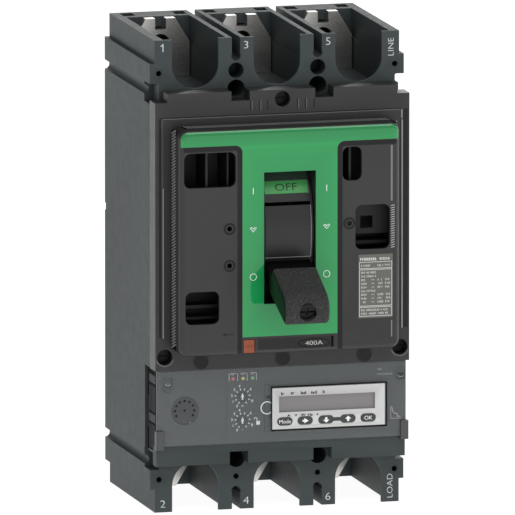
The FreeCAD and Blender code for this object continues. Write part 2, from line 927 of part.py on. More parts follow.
def screw(at):
    """A pan head screw with a slot, its head on the seat of a recess."""
    top = d.screw_seat + d.screw_head
    head = rod(d.screw_head_radius, "depth", (d.screw_seat, top), at)
    shank = rod(d.screw_shank_radius, "depth", (d.screw_tip, d.screw_seat + PAST), at)
    x, z = at
    slot = block((x - d.screw_slot_reach, x + d.screw_slot_reach), (top - d.screw_slot_deep, top + PAST),
                 (z - d.screw_slot_half, z + d.screw_slot_half))
    return cut(fuse(head, shank), slot)


def cover_furniture():
    node("cover_screws", group(*[screw(at) for at in screw_places()]))
    depth = (d.raised_front - d.inlay_deep, d.raised_front + d.inlay_proud)
    for name, (x, z) in (("label_plate", LABEL), ("rating_plate", RATING)):
        node(name, block(x, depth, z))


# Terminals and poles ----------------------------------------------------------------------

def terminal_outline(end, bar_end):
    """Half of the flat terminal from its bar to its tip, mirrored to the other half."""
    right = [
        (d.bar_half, bar_end),
        (d.bar_half, d.plate_start * end),
        (d.plate_half, d.plate_start * end),
        (d.plate_half, d.plate_shoulder * end),
        (d.plate_tip_half, d.plate_end * end),
        (d.tip_notch / 2, d.plate_end * end),
        (d.tip_notch / 2, (d.plate_end - d.tip_notch) * end),
    ]
    left = [(-as_size(x), z) for x, z in reversed(right)]
    return right + left


def line_terminal(number):
    x = pole(number)
    plate = padded(terminal_outline(1, d.line_arm_bottom), d.plate_thick, (x, d.base_depth, 0),
                   holes=[((0, d.stud_height), d.stud_radius)])
    arm = block((x - d.arm_half, x + d.arm_half), (d.base_depth + PAST, d.line_arm_front),
                (d.line_arm_bottom, d.line_arm_top))
    return node(f"line_terminal_{number}", fuse(plate, arm))


def load_terminal(number):
    x = pole(number)
    plate = padded(terminal_outline(-1, d.load_arm_top), d.plate_thick, (x, d.base_depth, 0),
                   holes=[((0, -d.stud_height), d.stud_radius)])
    span = (x - d.arm_half, x + d.arm_half)
    arm = block(span, (d.base_depth + PAST, d.load_arm_front), (d.load_arm_bottom, d.load_arm_top))
    riser = block(span, (d.load_arm_front - d.riser_thick, d.load_arm_front),
                  (d.load_arm_bottom, d.riser_top))
    return node(f"load_terminal_{number}", fuse(plate, arm, riser))


def pole_cassette(number):
    x = pole(number)
    wall = d.cassette_wall
    outer = block((x - d.cassette_half, x + d.cassette_half), (d.cassette_back, d.cassette_front),
                  (d.cassette_bottom, d.cassette_top))
    inner = block((x - d.cassette_half + wall, x + d.cassette_half - wall),
                  (d.cassette_back + wall, d.cassette_front - wall),
                  (d.cassette_bottom + wall, d.cassette_top - wall))
    gap = d.cassette_gap
    span = (x - d.arm_half - gap, x + d.arm_half + gap)
    back = (d.cassette_back - PAST, d.cassette_back + wall + PAST)
    axle = rod(d.stub_radius + d.running_fit, "x",
               (x - d.cassette_half - PAST, x + d.cassette_half + PAST), (d.rotor_depth, 0))
    holes = [
        block(span, back, (d.line_arm_bottom - gap, d.line_arm_top + gap)),
        block(span, back, (d.load_arm_bottom - gap, d.load_arm_top + gap)),
        axle,
    ]
    return node(f"pole_cassette_{number}", cut(outer, inner, *holes))


def arc_chute(number, bottom, count):
    """Splitter plates held between two side walls."""
    x = pole(number)
    top = bottom + d.chute_pitch * (count - 1) + d.splitter_thick
    depth = (d.chute_back, d.chute_front)
    walls = [block(sorted_span(x + (d.chute_half - d.chute_wall) * side, x + d.chute_half * side),
                   depth, (bottom, top)) for side in SIDES]
    plates = [block((x - d.chute_half + PAST, x + d.chute_half - PAST), depth,
                    (bottom + d.chute_pitch * row, bottom + d.chute_pitch * row + d.splitter_thick))
              for row in range(count)]
    return fuse(*walls, *plates)


def arc_chutes():
    node("arc_chutes_line", group(*[arc_chute(number, d.line_chute_bottom, LINE_SPLITTERS) for number in POLES]))
    node("arc_chutes_load", group(*[arc_chute(number, d.load_chute_bottom, LOAD_SPLITTERS) for number in POLES]))


def current_transformer(number):
    x = pole(number)
    ring = block((x - d.coil_half, x + d.coil_half), (d.coil_back, d.coil_front),
                 (d.coil_bottom, d.coil_top))
    gap = d.coil_gap
    hole = block((x - d.bar_half - gap, x + d.bar_half + gap),
                 (d.base_depth - gap, d.base_depth + d.plate_thick + gap),
                 (d.coil_bottom - PAST, d.coil_top + PAST))
    return node(f"current_transformer_{number}", cut(ring, hole))


def rotor(number):
    """One pole's part of the contact shaft, slotted for its moving contact."""
    x = pole(number)
    at = (d.rotor_depth, 0)
    barrel = rod(d.rotor_radius, "x", (x - d.rotor_half, x + d.rotor_half), at)
    left = x - d.pole_pitch / 2 if number > 1 else -d.unit_side
    right = x + d.pole_pitch / 2 if number < 3 else d.unit_side
    stub = rod(d.stub_radius, "x", (left, right), at)
    slot = block((x - d.arm_thick / 2, x + d.arm_thick / 2),
                 (d.rotor_depth - d.arm_waist, d.rotor_depth + d.arm_waist), d.rotor_radius + PAST)
    return node(f"rotor_{number}", cut(fuse(barrel, stub), slot))


def contact_arm(number):
    """The double-break moving contact, tapered to both ends."""
    corners = [
        (d.arm_waist, -d.rotor_radius),
        (d.arm_waist, d.rotor_radius),
        (d.arm_tip, d.arm_reach),
        (-d.arm_tip, d.arm_reach),
        (-d.arm_waist, d.rotor_radius),
        (-d.arm_waist, -d.rotor_radius),
        (-d.arm_tip, -d.arm_reach),
        (d.arm_tip, -d.arm_reach),
    ]
    arm = padded(corners, d.arm_thick, (pole(number), d.rotor_depth, 0), "YZ_Plane", midplane=True)
    return node(f"contact_arm_{number}", arm)


# The operating mechanism and the toggle ---------------------------------------------------

def mechanism_frames():
    back = (d.cassette_front, d.cassette_front + d.frame_thick)
    plates = [block(sorted_span(d.frame_inner * side, (d.frame_inner + d.frame_thick) * side),
                    (d.cassette_front, d.frame_front), (d.frame_bottom, d.frame_top)) for side in SIDES]
    bridge = block(d.frame_inner + PAST, back, (d.bridge_bottom, d.bridge_top))
    hub_room = block(d.drum_half + d.deck_gap, (d.cassette_front - PAST, d.cassette_front + d.hub_room),
                     (d.pivot_height - d.hub_radius - PAST, d.pivot_height + d.hub_radius + PAST))
    pin = rod(d.pin_radius, "x", d.frame_hole_end, (d.pivot_depth, d.pivot_height))
    node("mechanism_frames", cut(fuse(*plates, bridge), pin, hub_room))
    node("toggle_pin", rod(d.pin_radius, "x", d.frame_inner + d.frame_thick + PAST,
                           (d.pivot_depth, d.pivot_height)))


def at_pivot(item):
    """Turns a piece of the toggle, drawn straight out along the depth, down to OFF."""
    axis = FreeCAD.Vector(1, 0, 0)
    pivot = FreeCAD.Vector(0, -d.pivot_depth.value, d.pivot_height.value)
    item.Placement = FreeCAD.Placement(pivot, FreeCAD.Rotation(axis, d.off_angle.value))
    bind(item, "Placement.Base.y", -d.pivot_depth)
    bind(item, "Placement.Base.z", d.pivot_height)
    bind(item, "Placement.Rotation.Angle", d.off_angle)
    return item


def sector(inner, outer, half, down, up):
    """Part of a ring about the pivot, from "down" degrees below the handle to "up" above it."""
    ring = cut(rod(outer, "x", half, (0, 0)), rod(inner, "x", half + PAST, (0, 0)))
    far = as_size(outer) * WEDGE_REACH
    corners = [(0, 0)]
    span = as_size(up) + down
    for step in range(WEDGE_STEPS + 1):
        angle = span * (step / WEDGE_STEPS) - down
        corners.append((-(far * cosine(angle)), far * sine(angle)))
    wedge = padded(corners, (half + PAST) * 2, (0, 0, 0), "YZ_Plane", midplane=True)
    return common(ring, wedge)


def toggle_drum():
    """The curved apron behind the window, its two webs and the hub on the pin."""
    inner = d.drum_radius - d.drum_thick
    apron = sector(inner, d.drum_radius, d.drum_half, d.drum_down, d.drum_up)
    webs = []
    for side in SIDES:
        x = sorted_span((d.drum_half - d.web_thick) * side, d.drum_half * side)
        web = block(x, (0, inner + PAST), d.web_half)
        hub = rod(d.hub_radius, "x", x, (0, 0))
        webs.append(fuse(web, hub))
    raised = sector(inner + PAST, d.drum_radius + d.apron_rise, d.apron_half, -d.apron_low, d.apron_high)
    slit = sector(inner - PAST, d.drum_radius + d.apron_rise + PAST, d.slit_half, -d.apron_high,
                  d.slit_high)
    bore = rod(d.pin_radius + d.running_fit, "x", d.drum_half + PAST, (0, 0))
    body = cut(fuse(apron, raised, *webs), bore, slit)
    return node("toggle_drum", at_pivot(body))


def toggle_handle():
    """The grip: a block on a thin neck, with a round nose that holds a screw."""
    shoulder = d.handle_neck
    outline = [
        (-d.handle_root, -d.neck_half),
        (-shoulder, -d.neck_half),
        (-shoulder, -d.shoulder_below),
        (-d.handle_tip, -d.handle_below),
        (-d.handle_tip, d.handle_above),
        (-shoulder, d.shoulder_above),
        (-shoulder, d.neck_half),
        (-d.handle_root, d.neck_half),
    ]
    block_grip = padded(outline, d.handle_half * 2, (0, 0, 0), "YZ_Plane", midplane=True)

    def at_tip(ends):
        if not all(near(-end.y, d.handle_tip) for end in ends) or near(ends[0].x, ends[-1].x):
            return 0
        return d.handle_top_round if ends[0].z > 0 else d.handle_low_round

    def on_side(ends):
        flat = all(near(abs(end.x), d.handle_half) for end in ends) and near(ends[0].x, ends[-1].x)
        ahead = all(-end.y > shoulder.value - TOLERANCE for end in ends)
        along = not all(near(-end.y, shoulder) for end in ends)
        return d.handle_side_round if flat and ahead and along else 0

    grip = fillet(fillet(block_grip, at_tip), on_side)
    seat = d.handle_tip - d.handle_screw_depth
    face = seat + d.handle_screw_head
    at = (0, d.handle_screw_rise)
    recess = rod(d.handle_screw_radius + d.handle_screw_gap, "depth", (seat, d.handle_tip + PAST), at)
    node("toggle_handle", at_pivot(cut(grip, recess)))
    head = rod(d.handle_screw_radius, "depth", (seat, face), at)
    low = d.handle_screw_rise - d.slot_half
    high = d.handle_screw_rise + d.slot_half
    depth = (face - d.handle_screw_slot, face + PAST)
    slots = [block(d.slot_reach, depth, (low, high)),
             block(d.slot_half, depth,
                   (d.handle_screw_rise - d.slot_reach / 2, d.handle_screw_rise + d.slot_reach / 2))]
    node("handle_screw", at_pivot(cut(head, *slots)))


def flags():
    """The two plates on the apron that show the state of the breaker in its window."""
    for name, down, up in (("off_flag", -d.flag_near, d.flag_far), ("on_flag", d.flag_far, -d.flag_near)):
        plate = sector(d.drum_radius, d.drum_radius + d.flag_rise, d.flag_half, down, up)
        node(name, at_pivot(plate))


# The trip unit ----------------------------------------------------------------------------

def trip_unit_housing():
    outer = block(d.unit_side, (d.unit_back, d.unit_front), (d.unit_bottom, d.unit_top))
    wall = d.unit_wall
    inner = block(d.unit_side - wall, (d.unit_back + wall, d.unit_front + PAST),
                  (d.unit_bottom + wall, d.unit_top - wall))
    extras = []
    (bracket_near, bracket_far), bracket_depth = BRACKET
    for side in SIDES:
        x = sorted_span((d.unit_side - PAST) * side, d.flange_side * side)
        extras.append(block(x, (d.flange_back, d.unit_front), (d.unit_bottom, d.unit_top)))
        low_x = sorted_span(d.flange_inner * side, d.flange_side * side)
        extras.append(block(low_x, (d.flange_back, d.unit_front),
                            (d.ledge_top + d.flange_gap, d.unit_bottom + PAST)))
        extras.append(block(low_x, (d.flange_back, d.flange_foot_front),
                            (d.flange_foot, d.ledge_top + PAST)))
        extras.append(block(sorted_span(bracket_near * side, bracket_far * side), bracket_depth,
                            (d.unit_top - PAST, BRACKET_TOP)))
    bore = rod(d.trip_radius + d.running_fit, "x", d.trip_bar_half + PAST, (d.trip_depth, d.trip_height))
    return node("trip_unit_housing", cut(fuse(cut(outer, inner), *extras), bore))


def key_solid(x, grow, depth):
    """An oval key: a block between two half rounds."""
    rise = d.key_rise + grow
    straight = d.key_half - d.key_rise
    z = (d.key_height - rise, d.key_height + rise)
    ends = [rod(rise, "depth", depth, (x + straight * side, d.key_height)) for side in SIDES]
    return fuse(block((x - straight, x + straight), depth, z), *ends)


def rocker_solid(grow, depth):
    """The two arrow keys joined by a narrow neck."""
    reach = d.rocker_neck + grow
    neck = block((d.key_down, d.key_up), depth, (d.key_height - reach, d.key_height + reach))
    return fuse(key_solid(d.key_down, grow, depth), key_solid(d.key_up, grow, depth), neck)


def trip_unit_fascia():
    plate = block(d.fascia_side, (d.unit_front, d.fascia_front), (d.fascia_bottom, d.unit_top))
    lugs = []
    pins = []
    for side in SIDES:
        x = sorted_span(d.lug_inner * side, d.lug_outer * side)
        lugs.append(block(x, (d.lug_back, d.lid_front + d.lug_rise), (d.lug_bottom, d.lug_top)))
        bore = sorted_span((d.lug_inner - PAST) * side, d.lug_bore_end * side)
        pins.append(rod(d.lid_pin_radius + d.running_fit, "x", bore,
                        (d.lid_axis_depth, d.lid_axis_height)))
    depth = (d.unit_front - PAST, d.fascia_front + PAST)
    holes = [
        block((d.bezel_left, d.bezel_right), depth, (d.bezel_bottom, d.bezel_top)),
        rod(d.port_radius, "depth", depth, (d.port_x, d.port_z)),
    ]
    for z in (d.dial_high, d.dial_low):
        holes.append(rod(d.dial_radius + d.running_fit, "depth", depth, (d.dial_x, z)))
    for x in LEDS.values():
        holes.append(rod(d.led_radius, "depth", depth, (x, d.led_height)))
    return node("trip_unit_fascia", cut(fuse(plate, *lugs), *holes, *pins))


def display():
    """The bezel with its screen, three single keys and a rocker of two."""
    outer = block((d.bezel_left, d.bezel_right), (d.bezel_back, d.bezel_front),
                  (d.bezel_bottom, d.bezel_top))
    glass_x = (d.glass_left, d.glass_right)
    pocket = block(glass_x, (d.bezel_back - PAST, d.glass_front), (d.pocket_bottom, d.glass_top))
    through = (d.glass_front - PAST, d.bezel_front + PAST)
    window = block((d.view_left, d.view_right), through, (d.view_bottom, d.view_top))
    keys = [key_solid(x, d.key_gap, through) for x in KEYS.values()]
    keys.append(rocker_solid(d.key_gap, through))
    node("display_bezel", cut(outer, pocket, window, *keys))
    node("lcd_screen", block(glass_x, (d.glass_back, d.glass_front), (d.glass_bottom, d.glass_top)))
    cap = (d.key_back, d.key_front)
    skirt = (d.key_skirt_back, d.key_skirt_front)
    for name, x in KEYS.items():
        node(name, fuse(key_solid(x, 0, cap), key_solid(x, d.key_skirt, skirt)))
    middle = (d.key_down + d.key_up) / 2
    pivot = rod(d.rocker_pin, "z", (d.key_height - d.rocker_pin_reach, d.key_height + d.rocker_pin_reach),
                (middle, d.rocker_depth))
    rocker_skirt = (d.key_skirt_back, d.rocker_skirt_front)
    node("key_rocker", fuse(rocker_solid(0, cap), rocker_solid(d.rocker_skirt, rocker_skirt), pivot))


def trip_unit_inside():
    node("trip_unit_pcb", block(*BOARD))
    _, (solenoid_back, solenoid_front), _ = SOLENOID
    shell_inside = d.unit_back + d.unit_wall
    (_, (board_back, _), _) = BOARD
    node("trip_actuator", fuse(
        block(*SOLENOID),
        rod(SOLENOID_PIN, "depth", (shell_inside, solenoid_back + PAST), SOLENOID_AXIS),
        rod(SOLENOID_PIN, "depth", (solenoid_front - PAST, board_back), SOLENOID_AXIS),
    ))
    node("test_port", test_port())
    for name, x in LEDS.items():
        node(name, rod(d.led_radius, "depth", (d.port_back, d.fascia_front), (x, d.led_height)))


def test_port():
    """A flat round connector with a ring of contact holes and one in its middle."""
    disc = rod(d.port_radius, "depth", (d.port_back, d.port_front), (d.port_x, d.port_z))
    depth = (d.port_hole_back, d.port_front + PAST)
    holes = [rod(d.port_hole_radius, "depth", depth, (d.port_x, d.port_z))]
    for degrees in PORT_HOLES:
        angle = as_size(degrees)
        at = (d.port_x + d.port_ring * cosine(angle), d.port_z + d.port_ring * sine(angle))
        holes.append(rod(d.port_hole_radius, "depth", depth, at))
    return cut(disc, *holes)


def dials():
    """Two small adjusters, each with a screwdriver slot."""
    for name, z in (("dial_current", d.dial_high), ("dial_delay", d.dial_low)):
        corners = [
            (0, 0),
            (d.dial_radius, 0),
            (d.dial_radius, d.dial_chamfer - d.dial_long),
            (d.dial_radius - d.dial_chamfer, -d.dial_long),
            (0, -d.dial_long),
        ]
        knob = turned(corners, (d.dial_x, d.dial_back, z))
        slot = block((d.dial_x - d.dial_slot_reach, d.dial_x + d.dial_slot_reach),
                     (d.dial_slot_back, d.fascia_front + PAST),
                     (z - d.dial_slot_half, z + d.dial_slot_half))
        node(name, cut(knob, slot))


def trip_cover():
    """The clear lid over the settings, hinged along its lower edge."""
    depth = (d.lid_back, d.lid_front)
    split = d.lug_top + d.lid_gap
    upper = block(d.lid_side, depth, (split, d.lid_top))
    lower = block(d.lug_inner - d.lid_gap, depth, (d.lid_axis_height, split + PAST))
    barrel = rod(d.lid_pin_radius, "x", d.lid_pin_end, (d.lid_axis_depth, d.lid_axis_height))
    tabs = [block(sorted_span(d.tab_near * side, d.tab_far * side),
                  (d.lid_front - d.tab_rise, d.lid_front + d.tab_rise), (d.tab_bottom, d.tab_top))
            for side in SIDES]
    through = (d.lid_back - PAST, d.lid_front + PAST)
    window = block((d.bezel_left - d.lid_gap, d.bezel_right + d.lid_gap), through,
                   (d.bezel_bottom - d.lid_gap, d.bezel_top + d.lid_gap))
    port = rod(d.port_radius + d.lid_port_gap, "depth", through, (d.port_x, d.port_z))
    node("trip_cover", cut(fuse(upper, lower, barrel, *tabs), window, port))


def trip_linkage():
    cap = block((d.button_left, d.button_right), (d.button_back, d.button_front),
                (d.button_bottom, d.button_top))
    stem = block((d.stem_left, d.stem_right), (d.stem_back, d.button_back + PAST),
                 (d.stem_low, d.button_top))
    node("trip_button", fuse(cap, stem))
    bar = rod(d.trip_radius, "x", d.trip_bar_half, (d.trip_depth, d.trip_height))
    x = (d.paddle_left, d.paddle_right)
    paddle = block(x, (d.paddle_back, d.paddle_front), (d.trip_height, d.paddle_top))
    root = block(x, (d.paddle_root_back, d.paddle_front),
                 (d.trip_height - d.paddle_root_half, d.trip_height + d.paddle_root_half))
    node("trip_bar", fuse(bar, paddle, root))
    node("trip_bar_spring", trip_bar_spring())


def trip_bar_spring():
    """A close-wound torsion spring round the trip bar, with one leg on the trip unit."""
    at = (d.trip_depth, d.trip_height)
    coil = cut(rod(d.spring_outer, "x", (d.spring_left, d.spring_right), at),
               rod(d.spring_inner, "x", (d.spring_left - PAST, d.spring_right + PAST), at))
    wire = d.spring_outer - d.spring_inner
    middle = d.trip_depth + d.spring_inner + wire / 2
    leg = rod(wire / 2, "z", (d.unit_top, d.trip_height), (d.spring_leg_x, middle))
    return fuse(coil, leg)


def build():
    rear_base()
    main_case()
    plate = node("green_escutcheon", face_plate())
    front_cover(plate)
    accessory_deck()
    accessory_frames()
    cover_furniture()
    for number in POLES:
        line_terminal(number)
        load_terminal(number)
        pole_cassette(number)
        current_transformer(number)
        rotor(number)
        contact_arm(number)
    arc_chutes()
    mechanism_frames()
    toggle_drum()
    toggle_handle()
    flags()
    trip_unit_housing()
    trip_unit_fascia()
    display()
    trip_unit_inside()
    dials()
    trip_cover()
    trip_linkage()


def check():
    """Stops if any object of the document failed, or if a sub-part has no sound solid."""
    for item in doc.Objects:
        if "Invalid" in item.State or "Error" in item.State:
            raise RuntimeError(f"{item.Label} failed: {item.State}")
    for item in nodes:
        shape = item.Shape
        if shape.isNull() or not shape.isValid() or not shape.Solids:
            raise RuntimeError(f"{item.Label} has no valid solid")


def write():
    os.makedirs("parts", exist_ok=True)
    for item in nodes:
        item.Shape.exportStep(os.path.join("parts", f"{item.Label}.step"))
        print(f"{item.Label}: {len(item.Shape.Solids)} solid(s), {item.Shape.Volume:.0f} mm3")


build()
doc.recompute()
check()
write()
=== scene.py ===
"""Looks for a three-pole moulded case circuit breaker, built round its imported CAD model.

Metres throughout. +X is right seen from the front, +Z is up and the front faces -Y.
"depth" is the distance in front of the rear mounting face, so depth 0.1 lies at y = -0.1.
"""
import json
import math
import random

import bmesh
import bpy
from mathutils import Matrix, Vector

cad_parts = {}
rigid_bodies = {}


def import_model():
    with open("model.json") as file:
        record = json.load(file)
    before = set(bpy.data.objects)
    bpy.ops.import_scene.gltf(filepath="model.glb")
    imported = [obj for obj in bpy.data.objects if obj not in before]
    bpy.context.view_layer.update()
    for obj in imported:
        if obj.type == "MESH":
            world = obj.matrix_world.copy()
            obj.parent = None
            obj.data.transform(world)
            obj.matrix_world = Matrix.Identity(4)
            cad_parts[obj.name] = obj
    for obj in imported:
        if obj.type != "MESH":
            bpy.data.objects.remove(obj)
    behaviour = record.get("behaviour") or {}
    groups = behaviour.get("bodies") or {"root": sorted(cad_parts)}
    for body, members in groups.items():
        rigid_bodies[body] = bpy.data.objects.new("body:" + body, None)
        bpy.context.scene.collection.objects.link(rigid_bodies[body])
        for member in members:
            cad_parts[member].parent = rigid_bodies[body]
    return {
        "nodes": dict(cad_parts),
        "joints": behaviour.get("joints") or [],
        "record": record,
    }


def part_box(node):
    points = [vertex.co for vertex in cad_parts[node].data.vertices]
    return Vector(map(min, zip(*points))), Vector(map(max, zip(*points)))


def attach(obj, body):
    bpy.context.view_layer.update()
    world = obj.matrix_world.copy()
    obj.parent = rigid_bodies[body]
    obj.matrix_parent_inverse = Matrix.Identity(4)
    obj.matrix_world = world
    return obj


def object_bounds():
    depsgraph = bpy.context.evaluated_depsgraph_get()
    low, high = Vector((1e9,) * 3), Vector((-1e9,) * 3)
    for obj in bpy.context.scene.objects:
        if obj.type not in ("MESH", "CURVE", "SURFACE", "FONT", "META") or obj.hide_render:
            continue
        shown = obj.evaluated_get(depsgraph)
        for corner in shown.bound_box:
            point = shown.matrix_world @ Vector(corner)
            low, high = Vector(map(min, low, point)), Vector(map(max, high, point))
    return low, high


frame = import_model()
nodes = frame["nodes"]
cad_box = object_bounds()
MM = 0.001


def box_mm(node):
    """A node's extent in millimetres, as (low, high) pairs: across, depth and height."""
    low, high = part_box(node)
    return ((low[0] / MM, high[0] / MM), (-high[1] / MM, -low[1] / MM), (low[2] / MM, high[2] / MM))


def middle(node):
    """The middle of a node seen from the front, in millimetres."""
    across, _, height = box_mm(node)
    return sum(across) / 2, sum(height) / 2


# Depths of the faces that details lie on, in millimetres.
CASE_FRONT = box_mm("front_cover")[1][0]
FACE = box_mm("front_cover")[1][1]
FASCIA = box_mm("dial_current")[1][1]
COVER = 107.0
DIMPLE = 106.7
RIDGE = 107.6
LID = 107.0

# The cover's raised part, in millimetres: half its width, the heights of its foot and top, and
# the places of its plain round holes.
RAISED_HALF = 60.6
RAISED_LOW = -39.3
RAISED_TOP = 82.5
PLAIN_HOLES = ((-33.2, 29.0), (-33.2, 9.1), (32.6, 29.2))

# The toggle's axle, and how far from it the handle's neck ends and its grip starts, in metres.
PIVOT = next(joint["pos_m"] for joint in frame["joints"] if joint["name"] == "toggle_tilt")
NECK_REACH = 0.0672
GRIP_REACH = 0.0680

# Radii of the toggle's drum, of the plates on it and of its apron, in millimetres, and how far
# the handle points down at rest, in degrees.
DRUM = 52.0
FLAG_RADIUS = DRUM + 0.5
APRON_RADIUS = DRUM + 0.9
OFF_ANGLE = 22.2

# A capital letter's height as a share of the font's size.
CAP_SHARE = 0.682


# Camera, floor and light ------------------------------------------------------------------

def make_camera():
    """A very long lens, so the view is nearly parallel.

    The picture is twice half_width across at the object, and its middle is off the origin by
    aim_right and aim_up. All are in metres.
    """
    turn = math.radians(14.887)
    lift = math.radians(9.814)
    distance = 12.0
    half_width = 0.1383
    aim_right = 0.01418
    aim_up = -0.00818
    ahead = Vector((math.sin(turn) * math.cos(lift), math.cos(turn) * math.cos(lift), -math.sin(lift)))
    right = Vector((math.cos(turn), -math.sin(turn), 0))
    up = right.cross(ahead)
    target = right * aim_right + up * aim_up
    data = bpy.data.cameras.new("camera")
    data.lens = data.sensor_width / 2 * distance / half_width
    data.clip_end = 100
    camera = bpy.data.objects.new("camera", data)
    camera.matrix_world = Matrix((right, up, -ahead)).transposed().to_4x4()
    camera.location = target - ahead * distance
    bpy.context.scene.collection.objects.link(camera)
    bpy.context.scene.camera = camera


def make_stage():
    """A large pale floor that glows a little, like a light table."""
    size = 40
    gap = 0.0002
    z = cad_box[0][2] - gap
    mesh = bpy.data.meshes.new("floor")
    corners = [(-size, -size, z), (size, -size, z), (size, size, z), (-size, size, z)]
    mesh.from_pydata(corners, [], [(0, 1, 2, 3)])
    floor = bpy.data.objects.new("floor", mesh)
    bpy.context.scene.collection.objects.link(floor)
    material = bpy.data.materials.new("floor_pale")
    material.use_nodes = True
    shader = material.node_tree.nodes["Principled BSDF"]
    shader.inputs["Base Color"].default_value = (0.3, 0.3, 0.3, 1)
    shader.inputs["Roughness"].default_value = 0.95
    shader.inputs["Specular IOR Level"].default_value = 0.0
    shader.inputs["Emission Color"].default_value = (1, 1, 1, 1)
    shader.inputs["Emission Strength"].default_value = 0.95
    mesh.materials.append(material)


def area_light(name, place, size, power):
    """A rectangular light that faces the object."""
    middle_of_case = Vector((0, -0.06, 0))
    data = bpy.data.lights.new(name, "AREA")
    data.shape = "RECTANGLE"
    data.size, data.size_y = size
    data.energy = power
    light = bpy.data.objects.new(name, data)
    light.location = place
    aim = middle_of_case - Vector(place)
    light.rotation_euler = aim.to_track_quat("-Z", "Y").to_euler()
    bpy.context.scene.collection.objects.link(light)


def fill_range(node, start, end, low, high):
    """Sets a Map Range node to turn start..end into low..high."""
    for name, value in (("From Min", start), ("From Max", end), ("To Min", low), ("To Max", high)):
        node.inputs[name].default_value = value


def make_light():
    """A surround that is dimmer behind, but for one bright panel there, and two soft lights.

    The camera itself sees plain white.
    """
    front_strength = 0.74
    back_strength = 0.26
    panel_strength = 2.0
    panel_direction = (0.45, 0.87, 0.2)
    panel_edge = 0.86
    panel_middle = 0.95
    world = bpy.data.worlds.new("studio")
    world.use_nodes = True
    tree = world.node_tree
    background = tree.nodes["Background"]
    background.inputs["Color"].default_value = (1, 1, 1, 1)
    sky = tree.nodes.new("ShaderNodeTexCoord")
    axes = tree.nodes.new("ShaderNodeSeparateXYZ")
    tree.links.new(sky.outputs["Generated"], axes.inputs["Vector"])
    wall = tree.nodes.new("ShaderNodeMapRange")
    fill_range(wall, -0.5, 0.5, front_strength, back_strength)
    tree.links.new(axes.outputs["Y"], wall.inputs["Value"])
    toward = tree.nodes.new("ShaderNodeVectorMath")
    toward.operation = "DOT_PRODUCT"
    toward.inputs[1].default_value = panel_direction
    tree.links.new(sky.outputs["Generated"], toward.inputs[0])
    panel = tree.nodes.new("ShaderNodeMapRange")
    fill_range(panel, panel_edge, panel_middle, 0, panel_strength)
    tree.links.new(toward.outputs["Value"], panel.inputs["Value"])
    both = tree.nodes.new("ShaderNodeMath")
    both.operation = "ADD"
    tree.links.new(wall.outputs["Result"], both.inputs[0])
    tree.links.new(panel.outputs["Result"], both.inputs[1])
    seen = tree.nodes.new("ShaderNodeLightPath")
    strength = tree.nodes.new("ShaderNodeMath")
    strength.operation = "MAXIMUM"
    tree.links.new(both.outputs["Value"], strength.inputs[0])
    tree.links.new(seen.outputs["Is Camera Ray"], strength.inputs[1])
    tree.links.new(strength.outputs["Value"], background.inputs["Strength"])
    bpy.context.scene.world = world
    area_light("key", (0.35, -1.1, 1.7), (1.0, 1.0), 8)
    area_light("edge", (1.6, -0.15, 0.1), (0.35, 1.6), 6)
    bpy.context.scene.view_settings.view_transform = "Standard"


# Materials --------------------------------------------------------------------------------

def linear(value):
    """A display channel, 0 to 255, as a linear one."""
    value = value / 255
    return value / 12.92 if value <= 0.04045 else ((value + 0.055) / 1.055) ** 2.4


def colour(red, green, blue):
    """A display colour, 0 to 255, as the shader's linear colour."""
    return (linear(red), linear(green), linear(blue), 1)


def shade(base, share):
    """A colour made lighter or darker."""
    return tuple(min(1, channel * share) for channel in base[:3]) + (1,)


class Finish:
    """A material with its node tree, and the few links that every finish needs."""

    def __init__(self, name):
        self.material = bpy.data.materials.new(name)
        self.material.use_nodes = True
        self.tree = self.material.node_tree
        self.shader = self.tree.nodes["Principled BSDF"]
        self.place = self.add("ShaderNodeTexCoord").outputs["Object"]

    def add(self, kind, **values):
        """A new node of a kind, with its settings."""
        node = self.tree.nodes.new(kind)
        for key, value in values.items():
            setattr(node, key, value)
        return node

    def link(self, output, target):
        """Joins one node's output to another's input."""
        self.tree.links.new(output, target)

    def noise(self, scale, detail=3.0, rough=0.55):
        """Noise that is fixed to the object."""
        node = self.add("ShaderNodeTexNoise")
        node.inputs["Scale"].default_value = scale
        node.inputs["Detail"].default_value = detail
        node.inputs["Roughness"].default_value = rough
        self.link(self.place, node.inputs["Vector"])
        return node.outputs["Fac"]

    def ramp(self, factor, low, high, start=0.3, end=0.7):
        """One colour to another as the factor goes from start to end."""
        node = self.add("ShaderNodeValToRGB")
        node.color_ramp.elements[0].position = start
        node.color_ramp.elements[1].position = end
        node.color_ramp.elements[0].color = low
        node.color_ramp.elements[1].color = high
        self.link(factor, node.inputs["Fac"])
        return node.outputs["Color"]

    def span(self, factor, low, high, start=0.3, end=0.7):
        """One number to another as the factor goes from start to end."""
        node = self.add("ShaderNodeMapRange")
        fill_range(node, start, end, low, high)
        self.link(factor, node.inputs["Value"])
        return node.outputs["Result"]

    def mix(self, factor, first, second):
        """Between two colours, each given as a value or as an output."""
        node = self.add("ShaderNodeMix", data_type="RGBA", blend_type="MIX")
        self.link(factor, node.inputs["Factor"])
        for name, value in (("A", first), ("B", second)):
            if isinstance(value, tuple):
                node.inputs[name].default_value = value
            else:
                self.link(value, node.inputs[name])
        return node.outputs["Result"]

    def bump(self, height, strength, distance):
        """Relief on the surface, from a height."""
        node = self.add("ShaderNodeBump")
        node.inputs["Strength"].default_value = strength
        node.inputs["Distance"].default_value = distance
        self.link(height, node.inputs["Height"])
        self.link(node.outputs["Normal"], self.shader.inputs["Normal"])
        return node


def edge_tint(finish, base, highlight):
    """Painted highlight: paler along sharp edges, where light catches them."""
    geometry = finish.add("ShaderNodeNewGeometry")
    share = finish.span(geometry.outputs["Pointiness"], 0, 1, 0.52, 0.62)
    return finish.mix(share, base, highlight)


